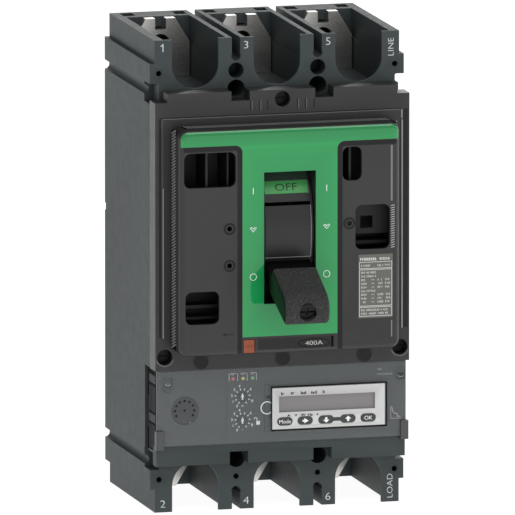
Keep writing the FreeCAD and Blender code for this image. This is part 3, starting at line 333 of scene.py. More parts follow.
def plastic(name, base, rough=0.45, bump=0.05, vary=0.03, gloss=0.5):
    """Moulded plastic: a fine spark-eroded grain, faint flow marks and a painted highlight that makes sharp
    edges slightly paler.
    """
    grain = 5200
    finish = Finish(name)
    mottled = finish.ramp(finish.noise(34, 4), shade(base, 1 - vary), shade(base, 1 + vary))
    # Sharp edges take a painted highlight, half again as pale as the plastic.
    finish.link(edge_tint(finish, mottled, shade(base, 1.5)), finish.shader.inputs["Base Color"])
    finish.link(finish.span(finish.noise(160, 3), rough - 0.03, rough + 0.03),
                finish.shader.inputs["Roughness"])
    finish.shader.inputs["Specular IOR Level"].default_value = gloss
    finish.bump(finish.noise(grain, 2), bump, 0.00008)
    return finish.material


def metal(name, base, rough=0.35, vary=0.05, bump=0.05):
    """Plated metal with fine rolling lines."""
    squeeze = (1, 1, 12)
    finish = Finish(name)
    mapping = finish.add("ShaderNodeMapping")
    mapping.inputs["Scale"].default_value = squeeze
    finish.link(finish.place, mapping.inputs["Vector"])
    finish.place = mapping.outputs["Vector"]
    lines = finish.noise(900, 4)
    finish.link(finish.ramp(finish.noise(60, 3), shade(base, 1 - vary), shade(base, 1 + vary)),
                finish.shader.inputs["Base Color"])
    finish.link(finish.span(lines, rough - 0.03, rough + 0.03), finish.shader.inputs["Roughness"])
    finish.shader.inputs["Metallic"].default_value = 1.0
    finish.bump(lines, bump, 0.0001)
    return finish.material


def clear(name):
    """Clear polycarbonate for the trip unit's lid."""
    finish = Finish(name)
    finish.link(finish.span(finish.noise(220, 3), 0.16, 0.22), finish.shader.inputs["Roughness"])
    finish.shader.inputs["Base Color"].default_value = (0.3, 0.33, 0.34, 1)
    finish.shader.inputs["Alpha"].default_value = 0.11
    finish.shader.inputs["IOR"].default_value = 1.45
    return finish.material


def handle_finish(name, base, dark):
    """Coarse leather-like grain on the grip, and smooth sides and neck, darkened with painted shade.

    The sides are where the normal lies along X, and the neck is what is nearer to the axle than the grip.
    The sides really are smooth; their near-black colour and the neck's are painted shade.
    """
    finish = Finish(name)
    geometry = finish.add("ShaderNodeNewGeometry")
    normal = finish.add("ShaderNodeSeparateXYZ")
    finish.link(geometry.outputs["True Normal"], normal.inputs["Vector"])
    size = finish.add("ShaderNodeMath", operation="ABSOLUTE")
    finish.link(normal.outputs["X"], size.inputs[0])
    side = finish.span(size.outputs["Value"], 0, 1, 0.78, 0.9)
    from_pivot = finish.add("ShaderNodeVectorMath", operation="SUBTRACT")
    finish.link(finish.place, from_pivot.inputs[0])
    from_pivot.inputs[1].default_value = PIVOT
    flat = finish.add("ShaderNodeVectorMath", operation="MULTIPLY")
    finish.link(from_pivot.outputs["Vector"], flat.inputs[0])
    flat.inputs[1].default_value = (0, 1, 1)
    reach = finish.add("ShaderNodeVectorMath", operation="LENGTH")
    finish.link(flat.outputs["Vector"], reach.inputs[0])
    neck = finish.span(reach.outputs["Value"], 1, 0, NECK_REACH, GRIP_REACH)
    smooth = finish.add("ShaderNodeMath", operation="MAXIMUM")
    finish.link(side, smooth.inputs[0])
    finish.link(neck, smooth.inputs[1])
    smooth = smooth.outputs["Value"]
    finish.shader.inputs["Specular IOR Level"].default_value = 0.15
    grain = finish.noise(1200, 3, 0.5)
    speckled = finish.ramp(grain, shade(base, 0.65), shade(base, 1.4), 0.38, 0.62)
    # Sides and neck take the near-black colour, which is painted shade; the grip keeps its speckled grain.
    finish.link(finish.mix(smooth, speckled, dark), finish.shader.inputs["Base Color"])
    finish.link(finish.span(smooth, 0.5, 0.36, 0, 1), finish.shader.inputs["Roughness"])
    bump = finish.bump(grain, 0.9, 0.001)
    finish.link(finish.span(smooth, 0.9, 0.02, 0, 1), bump.inputs["Strength"])
    return finish.material


def make_materials():
    """A finish for each of the record's slots, and for marks, painted highlight and shade lines, ribs and
    the rating plate.
    """
    return {
        "case_plastic": plastic("case_plastic", colour(48, 54, 55), 0.55, gloss=0.3),
        "cover_plastic": plastic("cover_plastic", colour(33, 33, 33), 0.42),
        "deck_plastic": plastic("deck_plastic", colour(10, 10, 10), 0.55),
        "escutcheon_green": plastic("escutcheon_green", (0.0035, 0.212, 0.053, 1), 0.05, bump=0.0,
                                    vary=0.01, gloss=0.6),
        "terminal_metal": metal("terminal_metal", colour(222, 220, 216), 0.29, vary=0.03, bump=0.004),
        "cassette_plastic": plastic("cassette_plastic", colour(52, 53, 56)),
        "rotor_plastic": plastic("rotor_plastic", colour(150, 142, 128)),
        "contact_copper": metal("contact_copper", colour(196, 120, 88), 0.3),
        "splitter_steel": metal("splitter_steel", colour(160, 162, 165)),
        "coil_black": plastic("coil_black", colour(30, 30, 32), 0.35),
        "frame_steel": metal("frame_steel", colour(176, 172, 160), 0.36),
        "pin_steel": metal("pin_steel", colour(186, 186, 186), 0.25),
        "screw_steel": plastic("screw_steel", colour(14, 14, 14), 0.4, gloss=0.2),
        # The handle's second colour, near black, is the painted shade of its sides and neck.
        "handle_plastic": handle_finish("handle_plastic", colour(56, 56, 56), colour(3, 3, 3)),
        "drum_plastic": plastic("drum_plastic", colour(24, 24, 25), 0.38),
        "off_green": plastic("off_green", colour(58, 134, 70), 0.3, bump=0.02),
        "on_red": plastic("on_red", colour(170, 36, 30), 0.3, bump=0.02),
        "unit_plastic": plastic("unit_plastic", colour(56, 58, 59), 0.45),
        "bezel_light": plastic("bezel_light", colour(176, 177, 176), 0.3, bump=0.02),
        "lcd": plastic("lcd", colour(108, 105, 106), 0.2, bump=0.01),
        "board_green": plastic("board_green", colour(34, 92, 60)),
        "solenoid_steel": metal("solenoid_steel", colour(150, 150, 150), 0.4),
        "port_black": plastic("port_black", colour(58, 60, 61), 0.45),
        "lamp_red": plastic("lamp_red", colour(180, 92, 96), 0.3),
        "lamp_yellow": plastic("lamp_yellow", colour(178, 172, 92), 0.3),
        "lamp_green": plastic("lamp_green", colour(92, 164, 106), 0.3),
        "label_grey": plastic("label_grey", colour(80, 80, 75), 0.4, bump=0.02),
        "button_orange": plastic("button_orange", colour(122, 58, 28), 0.4, bump=0.02),
        "key_grey": plastic("key_grey", colour(52, 53, 53), 0.4, bump=0.02),
        "dial_grey": plastic("dial_grey", colour(44, 46, 46), 0.4),
        "lid_clear": clear("lid_clear"),
        "trip_bar_plastic": plastic("trip_bar_plastic", colour(150, 146, 136)),
        "spring_steel": metal("spring_steel", colour(170, 170, 170), 0.3),
        "mark_white": plastic("mark_white", colour(208, 212, 210), 0.5, bump=0.02),
        # Pale grey serves for faint print, and also as painted highlight on the window's ribs and the lid's
        # tabs.
        "mark_grey": plastic("mark_grey", colour(148, 150, 149), 0.5, bump=0.02),
        "print_grey": plastic("print_grey", colour(186, 188, 186), 0.5, bump=0.02),
        "rib_highlight_grey": plastic("rib_highlight_grey", colour(112, 114, 114), 0.4, bump=0.02),
        # The two darkest marks serve for print, and also as painted shade in gaps, grooves, dimples and
        # recesses.
        "mark_dark": plastic("mark_dark", colour(8, 8, 8), 0.8, bump=0.02, gloss=0.1),
        "mark_smoke": plastic("mark_smoke", colour(16, 16, 16), 0.5, bump=0.02, gloss=0.3),
        # Pale finishes for painted highlight lines and streaks along edges and ridges.
        "painted_highlight_line": plastic("painted_highlight_line", colour(122, 124, 124), 0.3, bump=0.01),
        "painted_highlight_bright": plastic("painted_highlight_bright", colour(96, 98, 98), 0.2, bump=0.01),
        "flag_ink": plastic("flag_ink", colour(12, 46, 18), 0.4, bump=0.02),
        "button_ink": plastic("button_ink", colour(84, 26, 10), 0.4, bump=0.02),
        "drum_strip": plastic("drum_strip", colour(40, 58, 46), 0.4, bump=0.02),
        "rating_grey": plastic("rating_grey", colour(22, 22, 21), 0.45, bump=0.02, gloss=0.35),
        "slot_grey": plastic("slot_grey", colour(46, 50, 52), 0.6, gloss=0.2),
    }


# Nodes whose finish isn't their slot's, and edge radii in millimetres. The last three are the
# radius on terminals, the one on nodes that aren't listed, and the one above which an edge has
# three facets instead of two.
OWN_FINISH = {"rating_plate": "rating_grey"}
EDGES = {
    "main_case": 0.35, "front_cover": 0.35, "rear_base": 0.4, "trip_unit_housing": 0.3,
    "trip_unit_fascia": 0.25, "green_escutcheon": 0.1, "accessory_deck": 0.2, "toggle_drum": 0.25,
    "display_bezel": 0.2, "trip_button": 0.3, "trip_cover": 0.2, "cover_screws": 0.2,
    "handle_screw": 0.2, "key_mode": 0.3, "key_right": 0.3, "key_ok": 0.3, "key_rocker": 0.25,
    "test_port": 0.15, "dial_current": 0.15, "dial_delay": 0.15, "toggle_handle": 0.8,
}
TERMINAL_EDGE = 0.5
PLAIN_EDGE = 0.1
WIDE_EDGE = 0.6


def dress_cad():
    """Every CAD node gets its material, and the moulded ones get a small edge radius."""
    slots = {part["node"]: part["material_slot"] for part in frame["record"]["subparts"]}
    for name, item in nodes.items():
        item.data.materials.clear()
        item.data.materials.append(materials[OWN_FINISH.get(name, slots[name])])
        width = EDGES.get(name, TERMINAL_EDGE if "terminal" in name else PLAIN_EDGE)
        bevel = item.modifiers.new("edges", "BEVEL")
        bevel.width = width * MM
        bevel.segments = 3 if width > WIDE_EDGE else 2
        bevel.limit_method = "ANGLE"
        bevel.angle_limit = math.radians(35)
        bevel.harden_normals = False


# Faces that details are drawn on ----------------------------------------------------------
# Each one turns (u, v, height above the face), in millimetres, into a point.

def front(depth):
    """A face that looks forward: u is across and v the height."""
    return lambda u, v, height: (u, -depth - height, v)


def left(side):
    """A face that looks along -X: u is the depth and v the height."""
    return lambda u, v, height: (-side - height, -u, v)


def right(side):
    """A face that looks along +X: u is the depth and v the height."""
    return lambda u, v, height: (side + height, -u, v)


def top(level):
    """A face that looks up: u is along x and v the depth."""
    return lambda u, v, height: (u, -v, level + height)


def drum(radius):
    """A drum round the toggle's axle: u is along x, and v is the arc up from the handle's middle."""
    def place(u, v, height):
        angle = v / radius - math.radians(OFF_ANGLE)
        reach = radius + height
        return (u, PIVOT[1] / MM - reach * math.cos(angle), PIVOT[2] / MM + reach * math.sin(angle))
    return place


class Shapes:
    """Shapes with a real thickness, drawn on faces of the object and joined into one piece."""

    def __init__(self, face, rise=0.05, sunk=0.05):
        self.face = face
        self.rise = rise
        self.sunk = sunk
        self.points = []
        self.faces = []

    def prism(self, outline):
        """A closed outline of (u, v) points."""
        base = len(self.points)
        count = len(outline)
        for height in (-self.sunk, self.rise):
            self.points.extend(self.face(u, v, height) for u, v in outline)
        self.faces.append([base + number for number in range(count)])
        self.faces.append([base + count + number for number in range(count)])
        for number in range(count):
            after = (number + 1) % count
            self.faces.append([base + number, base + after, base + count + after, base + count + number])

    def bar(self, u, v):
        """A rectangle between two values of u and two of v."""
        self.prism([(u[0], v[0]), (u[1], v[0]), (u[1], v[1]), (u[0], v[1])])

    def ribbon(self, path, width, closed=False):
        """A line of an even width along a path of (u, v) points, mitred at its corners."""
        path = [Vector(point) for point in path]
        count = len(path)
        base = len(self.points)
        for number, point in enumerate(path):
            before = path[number - 1] if closed or number else None
            after = path[(number + 1) % count] if closed or number < count - 1 else None
            runs = [run.normalized() for run in (point - before if before is not None else None,
                                                 after - point if after is not None else None)
                    if run is not None]
            across = [Vector((-run.y, run.x)) for run in runs]
            mitre = (across[0] + across[-1]).normalized()
            offset = mitre * (width / 2 / max(mitre.dot(across[0]), 0.35))
            for place in (point + offset, point - offset):
                for height in (-self.sunk, self.rise):
                    self.points.append(self.face(place.x, place.y, height))
        for number in range(count if closed else count - 1):
            first = base + 4 * number
            second = base + 4 * ((number + 1) % count)
            for one, two in ((0, 1), (1, 3), (3, 2), (2, 0)):
                self.faces.append([first + one, first + two, second + two, second + one])
        if not closed:
            last = base + 4 * (count - 1)
            self.faces.append([base, base + 2, base + 3, base + 1])
            self.faces.append([last, last + 1, last + 3, last + 2])

    def frame(self, u, v, width):
        """The outline of a rectangle."""
        self.ribbon([(u[0], v[0]), (u[1], v[0]), (u[1], v[1]), (u[0], v[1])], width, closed=True)

    def ring(self, centre, radius, width, start=0, end=360, steps=36, squash=1.0):
        """A ring or a part of one, flattened by "squash"."""
        closed = end - start >= 360
        count = steps if closed else steps + 1
        angles = [math.radians(start + (end - start) * number / steps) for number in range(count)]
        self.ribbon([(centre[0] + radius * math.cos(angle), centre[1] + radius * squash * math.sin(angle))
                     for angle in angles], width, closed)

    def disc(self, centre, radius, steps=32):
        """A filled circle."""
        angles = [math.tau * number / steps for number in range(steps)]
        self.prism([(centre[0] + radius * math.cos(angle), centre[1] + radius * math.sin(angle))
                    for angle in angles])

    def letters(self, text, centre, height, turn=0, stretch=1.0, thin=0.016):
        """Plain lettering, "height" tall, turned anticlockwise by "turn" degrees.

        "stretch" widens it, and "thin" slims its strokes by that share of the font's size.
        """
        curve = bpy.data.curves.new("letters", "FONT")
        curve.body = text
        curve.size = height / CAP_SHARE
        curve.resolution_u = 3
        curve.offset = -curve.size * thin
        curve.extrude = (self.rise + self.sunk) / 2
        holder = bpy.data.objects.new("letters", curve)
        mesh = bpy.data.meshes.new_from_object(holder)
        base = len(self.points)
        us = [vertex.co.x for vertex in mesh.vertices]
        vs = [vertex.co.y for vertex in mesh.vertices]
        own_middle = Vector(((min(us) + max(us)) / 2, (min(vs) + max(vs)) / 2))
        spin = Matrix.Rotation(math.radians(turn), 2)
        for vertex in mesh.vertices:
            flat = vertex.co.xy - own_middle
            place = spin @ Vector((flat.x * stretch, flat.y)) + Vector(centre)
            self.points.append(self.face(place.x, place.y, vertex.co.z + (self.rise - self.sunk) / 2))
        self.faces.extend([base + index for index in polygon.vertices] for polygon in mesh.polygons)
        for block, data in ((bpy.data.objects, holder), (bpy.data.curves, curve), (bpy.data.meshes, mesh)):
            block.remove(data)

    def print_line(self, u, v, height, seed):
        """A row of small strokes that stands for fine print."""
        draw = random.Random(seed)
        space_chance = 0.14
        wide = height * 0.5
        stroke = height * 0.16
        advance = height * 0.78
        at = u[0]
        while at < u[1] - height * 0.6:
            if draw.random() < space_chance:
                at += wide
                continue
            self.bar((at, at + stroke), (v, v + height))
            for level in draw.sample((0.0, 0.42, 0.84), 2):
                foot = v + level * height
                self.bar((at + stroke / 2, at + wide), (foot, foot + stroke))
            if draw.random() < 0.5:
                self.bar((at + wide - stroke, at + wide), (v, v + height * 0.9))
            at += advance

    def make(self, name, material, body="case"):
        """Turns the shapes into one piece that rides on a body."""
        mesh = bpy.data.meshes.new(name)
        mesh.from_pydata([tuple(value * MM for value in point) for point in self.points], [], self.faces)
        shape = bmesh.new()
        shape.from_mesh(mesh)
        bmesh.ops.remove_doubles(shape, verts=shape.verts, dist=1e-7)
        bmesh.ops.recalc_face_normals(shape, faces=shape.faces)
        shape.to_mesh(mesh)
        shape.free()
        mesh.materials.append(materials[material])
        piece = bpy.data.objects.new(name, mesh)
        bpy.context.scene.collection.objects.link(piece)
        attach(piece, body)


def arc(centre, radius, start, end, steps=12):
    """Points along an arc, from one angle to another in degrees."""
    angles = [math.radians(start + (end - start) * number / steps) for number in range(steps + 1)]
    return [(centre[0] + radius * math.cos(angle), centre[1] + radius * math.sin(angle))
            for angle in angles]


# Details ----------------------------------------------------------------------------------
# Numbers are millimetres: across from the middle, height, or depth in front of the rear face.

def pole_marks():
    """Pole numbers at the ends of the barriers, and which end is which."""
    marks = Shapes(front(CASE_FRONT))
    for row, names in ((123.3, "135"), (-123.0, "246")):
        for name, across in zip(names, (-63, -17.0, 28.2)):
            if name == "1":
                stroke = [(across - 0.9, row + 0.9), (across + 0.3, row + 1.9), (across + 0.3, row - 2.0)]
                marks.ribbon(stroke, 0.42)
            else:
                marks.letters(name, (across, row), 4.0, stretch=1.2)
    marks.letters("LINE", (62.8, 118.9), 3.1, turn=90, stretch=1.1)
    marks.letters("LOAD", (62.4, -118.8), 3.1, turn=90, stretch=1.1)
    marks.make("pole_marks", "print_grey")


def position_marks():
    """The handle's three positions, on both sides of its window."""
    marks = Shapes(front(FACE))
    beside_window = 20.2
    for across in (-beside_window, beside_window):
        marks.bar((across - 0.17, across + 0.17), (47.2, 50.6))
        tip = [(across - 1.7, 28.8), (across - 0.9, 29.3), (across, 28.3), (across + 0.9, 29.3),
               (across + 1.7, 28.8), (across, 26.9)]
        marks.ribbon(tip, 0.26, closed=True)
        marks.ring((across, 2.5), 1.75, 0.28)
    marks.make("position_marks", "mark_white")


def along_drum(radius, low, high, steps=1):
    """Evenly spaced heights along a drum's arc, between two angles from the handle's middle."""
    low, high = radius * math.radians(low), radius * math.radians(high)
    return [low + (high - low) * step / steps for step in range(steps + 1)]


def toggle_lines():
    """Lettering, and lines of painted highlight along the apron's and the flag's edges, that turn with the
    toggle.
    """
    line_across = 12.45
    half_width = 12.6
    flag = Shapes(drum(FLAG_RADIUS))
    low, high = along_drum(FLAG_RADIUS, 45.3, 53.0)
    flag.letters("OFF", (0, (low + high) / 2), 3.9, stretch=1.25, thin=0.0)
    flag.make("flag_letters", "flag_ink", "toggle")
    # Pale lines along the apron's right and lower edges: painted highlight.
    lines = Shapes(drum(APRON_RADIUS), rise=0.12)
    levels = along_drum(APRON_RADIUS, 7.6, 38.0, 12)
    lines.ribbon([(line_across, level) for level in levels], 0.3)
    lines.ribbon([(-half_width, levels[0]), (half_width, levels[0])], 0.3)
    lines.make("apron_highlights", "painted_highlight_line", "toggle")
    # Pale lines along the flag's right and upper edges: painted highlight.
    upper = Shapes(drum(DRUM), rise=0.12)
    levels = along_drum(DRUM, 45.0, 53.4, 6)
    upper.ribbon([(line_across, level) for level in levels], 0.3)
    upper.ribbon([(-12.3, levels[-1]), (12.3, levels[-1])], 0.35)
    upper.make("flag_highlights", "painted_highlight_bright", "toggle")
    strip = Shapes(drum(DRUM), rise=0.1)
    levels = along_drum(DRUM, 54.0, 61.0, 5)
    for foot, head in zip(levels, levels[1:]):
        strip.bar((-half_width, half_width), (foot, head))
    strip.make("drum_strip", "drum_strip", "toggle")


def ribbed_walls():
    """Fine slanting ribs on the raised part's side walls and top, and beside its right window.
    The ribs' pale grey is a painted highlight, and the dark sheet under the wall and top ribs is painted
    shade.
    """
    pitch = 1.6
    bed_near, bed_far = 107.3, 114.6
    rib_near, rib_far = 107.6, 114.3
    low, high = RAISED_LOW + 3, box_mm("green_escutcheon")[2][1] - 1
    for name, face in (("left", left(RAISED_HALF)), ("right", right(RAISED_HALF))):
        # A dark sheet under the wall's ribs: painted shade between them.
        bed = Shapes(face, rise=0.03)
        bed.bar((bed_near, bed_far), (low - 0.6, high + 0.6))
        bed.make("rib_bed_" + name, "mark_dark")
        # The ribs' pale grey is a painted highlight on their crests.
        ribs = Shapes(face, rise=0.6)
        for number in range(int((high - low) / pitch)):
            foot = low + pitch * number
            ribs.prism([(rib_near, foot), (rib_far, foot + 2.4), (rib_far, foot + 3.1),
                        (rib_near, foot + 0.7)])
        ribs.make("ribs_" + name, "rib_highlight_grey")
    # A dark sheet under the top ribs: painted shade between them.
    bed = Shapes(top(RAISED_TOP), rise=0.03)
    bed.bar((-56.0, 57.5), (bed_near, bed_far - 0.2))
    bed.make("rib_bed_top", "mark_dark")
    ribs = Shapes(top(RAISED_TOP), rise=0.3)
    for number in range(70):
        at = -55 + pitch * number
        ribs.prism([(at, rib_near), (at + 0.55, rib_near), (at + 1.85, rib_far - 0.3),
                    (at + 1.3, rib_far - 0.3)])
    ribs.make("ribs_top", "rib_highlight_grey")
    # Pale ribs beside the window: painted highlight.
    strip = Shapes(front(FACE))
    for number in range(19):
        level = 15.0 + 1.25 * number
        strip.prism([(55.6, level), (57.6, level + 0.5), (57.6, level + 0.9), (55.6, level + 0.4)])
    strip.make("ribs_window", "mark_grey")


def stem_borders():
    """On the raised face: dark bands along the green plate, rings round the holes, streaks of painted
    highlight near its right edge, an arrow.
    """
    bands = Shapes(front(FACE), rise=0.02)
    for side in (-1, 1):
        turn = arc((30.1, 69.8), 2.5, 180, 90, 8)
        path = [(27.6, RAISED_LOW + 1)] + turn + [(58.5, 72.3)]
        bands.ribbon([(side * across, level) for across, level in path], 2.6)
    bands.make("stem_borders", "mark_smoke")
    rims = Shapes(front(FACE), rise=0.03)
    for across, level in PLAIN_HOLES:
        rims.ring((across, level), 2.7, 1.3)
    rims.make("hole_rims", "mark_smoke")
    # Pale streaks near the right edge: painted highlight, where the face catches light from the right.
    streak = Shapes(front(FACE), rise=0.06)
    streak.ribbon([(56.0, 40.4), (56.0, 70.5)], 1.0)
    streak.ribbon([(56.0, -24.0), (56.0, -33.0)], 0.7)
    streak.make("face_highlight_streak", "painted_highlight_bright")
    arrow = Shapes(front(FACE), rise=0.03)
    arrow.prism([(-37, -28), (-35.4, -26.9), (-35.4, -27.75), (-31, -27.75), (-31, -28.25),
                 (-35.4, -28.25), (-35.4, -29.1)])
    arrow.make("face_arrow", "mark_smoke")


def cover_lines():
    """Steps, grooves and ribs on the flat border of the cover, drawn as dark lines of painted shade and pale
    lines of painted highlight, and painted shade on the floors of its dimples.
    """
    dimples = (-45, 0, 45)
    dimple_level = -44.6
    rib_foot, rib_head = 89.6, 95.0
    # Dark lines: painted shade along the steps and side edges, in the grooves and round the dimples.
    dark = Shapes(front(COVER), rise=0.03)
    dark.ribbon([(-67.2, 87.4), (65.6, 87.4)], 0.5)
    dark.ribbon([(-67.2, 87.2), (-67.2, -31)], 1.6)
    dark.ribbon([(67.8, 87.2), (67.8, -31)], 2.6)
    for across in dimples:
        dark.ring((across, dimple_level), 4.1, 0.4)
    for across in (-17.4, -12.6, -8.2, 8.2, 12.6, 17.4):
        dark.ribbon([(across, rib_foot), (across, rib_head)], 0.7)
    dark.make("cover_groove_shade", "mark_smoke")
    # Pale lines on the side ridges and at the top corner: painted highlight.
    edge = Shapes(front(RIDGE), rise=0.05)
    edge.ribbon([(65.8, 81.4), (65.8, -31.2)], 0.7)
    edge.ribbon([(-65.8, 49.7), (-65.8, -31.2)], 0.4)
    edge.make("ridge_highlights", "painted_highlight_line")
    corner = Shapes(front(COVER), rise=0.08)
    corner.ribbon([(65.8, 86.8), (65.8, 82.0)], 0.6)
    corner.make("corner_highlight", "painted_highlight_line")
    # Thin bright lines on edges, arcs and ribs: painted highlight.
    bright = Shapes(front(COVER), rise=0.08)
    bright.ribbon([(-66.3, 86.6), (-66.3, -31)], 0.22)
    bright.ribbon([(-66.3, 86.8), (64.9, 86.8)], 0.22)
    for across in (-64.8, 64.8):
        bright.ring((across, -41.5), 4.9, 0.3, 200, 340, 18)
    for across in (-16.7, -11.9, 8.9, 13.3):
        bright.ribbon([(across, rib_foot), (across, rib_head)], 0.25)
    bright.make("cover_ridge_highlights", "painted_highlight_bright")
    # Dark discs on the dimples' floors: painted shade.
    floors = Shapes(front(DIMPLE), rise=0.03)
    for across in dimples:
        floors.disc((across, dimple_level), 3.6)
    floors.make("dimple_floor_shade", "mark_smoke")


def label_print():
    """The data label: boxes, rows of fine print and columns of figures, without real words."""
    across, depth, height = box_mm("label_plate")
    wide = across[1] - across[0]
    tall = height[1] - height[0]
    small = 1.05

    def run(start, end):
        """Shares of the label's width, from its left."""
        return across[0] + start * wide, across[0] + end * wide

    def level(share):
        """A share of the label's height, from its top."""
        return height[1] - share * tall

    heading = Shapes(front(depth[1]), rise=0.03, sunk=0.02)
    heading.print_line(run(0.05, 0.55), level(0.095), 1.5, 10)
    heading.print_line(run(0.62, 0.95), level(0.09), 1.2, 11)
    heading.make("label_heading", "mark_white")
    ink = Shapes(front(depth[1]), rise=0.02, sunk=0.02)
    for head, foot in ((0.12, 0.22), (0.24, 0.81), (0.83, 0.97)):
        ink.frame(run(0.03, 0.97), (level(foot), level(head)), 0.25)
    ink.print_line(run(0.08, 0.38), level(0.19), 1.0, 12)
    ink.print_line(run(0.55, 0.93), level(0.19), 1.0, 13)
    for row in range(9):
        line = level(0.3 + 0.058 * row)
        if row in (0, 1, 5):
            ink.print_line(run(0.08, 0.55), line, small, 20 + row)
            continue
        ink.print_line(run(0.08, 0.25), line, small, 20 + row)
        ink.bar(run(0.38, 0.46), (line + 0.45, line + 0.65))
        ink.print_line(run(0.56, 0.74), line, small, 40 + row)
        ink.print_line(run(0.78, 0.94), line, small, 60 + row)
    for row in range(2):
        ink.print_line(run(0.08, 0.86), level(0.89 + 0.055 * row), small, 80 + row)
    ink.make("label_print", "print_grey")


def rating_print():
    """The rated current in an oval on the rating plate, and painted shade in the gap at the plate's end."""
    _, depth, height = box_mm("rating_plate")
    centre = (13.2, sum(height) / 2 - 0.4)
    oval = Shapes(front(depth[1]), rise=0.03, sunk=0.02)
    oval.ring(centre, 8.6, 0.35, squash=0.27)
    oval.make("rating_oval", "mark_dark")
    ink = Shapes(front(depth[1]), rise=0.03, sunk=0.02)
    ink.letters("400A", centre, 2.2, stretch=1.4, thin=0.014)
    ink.make("rating_print", "print_grey")
    # A dark bar in the gap beside the plate: painted shade.
    gap = Shapes(front(FACE), rise=0.03)
    gap.bar((22.6, 24.0), (-37, -31))
    gap.make("rating_gap_shade", "mark_dark")


def dial_scale(ink, node):
    """Ticks and numbers round a dial, which leave a gap at its foot."""
    centre = Vector(middle(node))
    first_angle, step_angle = 240, 33.3
    for step in range(10):
        angle = math.radians(first_angle - step_angle * step)
        out = Vector((math.cos(angle), math.sin(angle)))
        ink.ribbon([centre + out * 3.35, centre + out * 4.5], 0.34)
        at = centre + out * 5.9
        if step % 2 == 0 or step in (1, 3):
            ink.letters(str(step), tuple(at), 1.4, stretch=1.1, thin=0.0)


def unit_marks():
    """Scales, symbols and captions on the trip unit's face."""
    ink = Shapes(front(FASCIA))
    for node, foot in (("dial_current", "A"), ("dial_delay", "s")):
        dial_scale(ink, node)
        across, level = middle(node)
        ink.letters(foot, (across, level - 5.1), 1.1, stretch=1.5)
    for across in (-28.9, -24.2, -19.0, -13.9):
        ink.ribbon([(across, -52.3), (across, -56.5)], 0.16)
    for across in (-26.7, -21.2, -15.9):
        ink.ribbon([(across - 1.7, -52.3), (across + 1.7, -52.3)], 0.14)
        ink.ribbon([(across - 1.1, -53.0), (across + 0.6, -53.0)], 0.14)
    ink.bar((-13.9, -11.9), (-80.6, -78.6))
    ink.ribbon([(-13.6, -78.4), (-13.6, -77.6)] + arc((-14.3, -77.5), 0.8, 0, 180, 6), 0.32)
    ink.ring((-8.0, -71.7), 3.3, 0.62)
    ink.ribbon([(-56.0, -77.7), (-50.2, -77.7)], 0.3)
    ink.make("unit_marks", "mark_white")
    faint = Shapes(front(FASCIA))
    faint.print_line((52.8, 55.8), -54.1, 1.0, 91)
    faint.print_line((52.8, 61.8), -56.8, 1.0, 92)
    faint.ribbon([(60.4, -80.6), (66.0, -80.6)], 0.25)
    faint.ribbon([(60.4, -80.6), (60.4, -74.0)], 0.25)
    faint.ribbon([(61.0, -74.2), (61.4, -76.6), (62.4, -78.0), (64.0, -78.0), (64.0, -79.6),
                  (65.8, -79.6)], 0.35)
    faint.make("unit_faint_marks", "mark_grey")

    dark = Shapes(front(FASCIA), rise=0.04)
    dark.bar((-8.6, -6.2), (-66.7, -64.9))
    dark.ribbon([(-6.6, -59), (-9.5, -59), (-9.5, -84.6), (-6.6, -84.6)], 0.26)
    dark.ring((-8.0, -71.7), 3.85, 0.3)
    dark.ribbon([(-30.3, -50.4), (-30.3, -89.4)], 0.16)
    dark.make("unit_lines", "mark_dark")


def bezel_print():
    """Captions over and under the display."""
    _, depth, _ = box_mm("display_bezel")
    ink = Shapes(front(depth[1]), rise=0.03)
    for text, across in (("Ir", 0.2), ("tr", 5.6), ("Isd", 11.6), ("tsd", 17.3), ("Ii", 22.8)):
        ink.letters(text, (across, -64.1), 1.55, stretch=1.2, thin=-0.03)
    for text, across in (("A", 3.6), ("V", 7.5), ("W", 11.5), ("Hz", 15.4), ("s", 19.4)):
        ink.letters(text, (across, -76.1), 1.3, stretch=1.25, thin=-0.03)
    ink.make("bezel_print", "mark_dark")


def dial_pointers():
    """A light arrow on each dial, which turns with it."""
    for node in ("dial_current", "dial_delay"):
        _, depth, _ = box_mm(node)
        across, level = middle(node)
        ink = Shapes(front(depth[1]), rise=0.04)
        ink.prism([(across - 0.9, level - 0.4), (across, level + 1.9), (across + 0.9, level - 0.4)])
        ink.bar((across - 0.4, across + 0.4), (level - 1.8, level - 0.4))
        ink.make(node + "_pointer", "mark_white", node)


def button_print():
    """A caption on the trip button, which goes in with it."""
    _, depth, _ = box_mm("trip_button")
    ink = Shapes(front(depth[1]), rise=0.03)
    ink.letters("TRIP", middle("trip_button"), 1.5, stretch=1.1, thin=0.004)
    ink.make("button_print", "button_ink", "trip_button")


def key_legends():
    """Light symbols on the dark keys, which move with them."""
    for node in ("key_mode", "key_right", "key_rocker", "key_ok"):
        _, depth, _ = box_mm(node)
        across, level = middle(node)
        ink = Shapes(front(depth[1]), rise=0.05)
        if node == "key_mode":
            ink.letters("Mode", (across, level), 2.0, thin=0.004)
        elif node == "key_right":
            ink.prism([(across + 1.7, level), (across - 0.6, level + 1.4), (across - 0.6, level + 0.5),
                       (across - 1.6, level + 0.5), (across - 1.6, level - 0.5),
                       (across - 0.6, level - 0.5), (across - 0.6, level - 1.4)])
        elif node == "key_rocker":
            for centre, way in ((24.1, -1), (36.2, 1)):
                ink.prism([(centre, level + way * 1.6), (centre + 1.7, level), (centre + 0.6, level),
                           (centre + 0.6, level - way * 1.3), (centre - 0.6, level - way * 1.3),
                           (centre - 0.6, level), (centre - 1.7, level)])
        else:
            ink.letters("OK", (across, level), 2.1, thin=0.004)
        ink.make(node + "_legend", "mark_white", node)


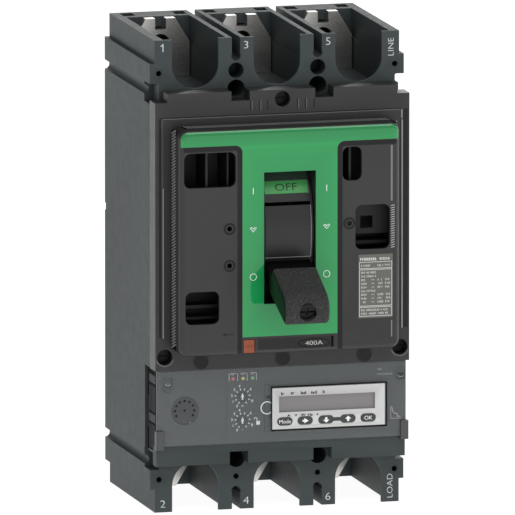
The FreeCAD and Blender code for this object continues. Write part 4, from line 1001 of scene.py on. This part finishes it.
def lid_marks():
    """Finger tabs, a catch, painted shade in the gap round the display window and painted glints on the
    tabs, on the clear lid, which open with it.
    """
    lines = Shapes(front(LID), rise=0.05)
    lines.frame((-65.4, -60.9), (-57.7, -53.2), 0.3)
    lines.frame((-64.9, -61.5), (-60.6, -58.4), 0.25)
    lines.frame((63.5, 67.4), (-59.3, -53.5), 0.3)
    lines.make("lid_tab_lines", "slot_grey", "trip_cover")
    catch = Shapes(front(LID), rise=0.03)
    catch.bar((64.0, 66.9), (-59.0, -55.6))
    catch.make("lid_catch", "mark_smoke", "trip_cover")
    across, _, height = box_mm("display_bezel")
    # A dark frame round the display: painted shade in the gap between the lid's window and the bezel.
    window_gap_shade = Shapes(front(LID), rise=0.04)
    window_gap_shade.ribbon([(across[0] - 0.6, height[0] - 0.65), (across[0] - 0.6, height[1] + 0.8),
                (across[1] + 0.9, height[1] + 0.8), (across[1] + 0.9, height[0] - 0.65)], 0.6,
               closed=True)
    window_gap_shade.make("lid_window_gap_shade", "mark_dark", "trip_cover")
    # Pale arcs on the finger tabs: painted highlight.
    glints = Shapes(front(LID), rise=0.08)
    glints.ring((-63.1, -55.4), 1.5, 0.25, 200, 330, 12)
    glints.ring((65.4, -56.4), 1.5, 0.25, 200, 330, 12)
    glints.make("lid_tab_glints", "mark_grey", "trip_cover")


def side_recess():
    """Vents and a slot on both sides of the trip unit, on a dark sheet of painted shade in the recess."""
    across, _, _ = box_mm("trip_unit_housing")
    for name, face in (("left", left(across[1])), ("right", right(across[1]))):
        # A dark sheet in the side recess: painted shade.
        bed = Shapes(face, rise=0.03)
        bed.bar((85.4, 102.8), (-93.8, -49.6))
        bed.make("unit_side_shade_" + name, "mark_dark")
        slats = Shapes(face, rise=0.3)
        for depth in (89.5, 92.1, 94.7, 97.3, 99.9):
            slats.bar((depth, depth + 1.0), (-72.5, -58.5))
            slats.bar((depth, depth + 1.0), (-92.6, -79.5))
        slats.bar((88.6, 101.6), (-57.0, -52.6))
        slats.bar((88.6, 101.6), (-78.2, -73.8))
        slats.ribbon(arc((87.2, -66), 0.8, 0, 180, 8) + arc((87.2, -81), 0.8, 180, 360, 8), 0.3,
                     closed=True)
        slats.make("unit_slats_" + name, "slot_grey")


make_camera()
make_stage()
make_light()
materials = make_materials()
dress_cad()
for draw_details in (pole_marks, position_marks, toggle_lines, ribbed_walls, stem_borders,
                     cover_lines, label_print, rating_print, unit_marks, bezel_print,
                     dial_pointers, button_print, key_legends, lid_marks, side_recess):
    draw_details()
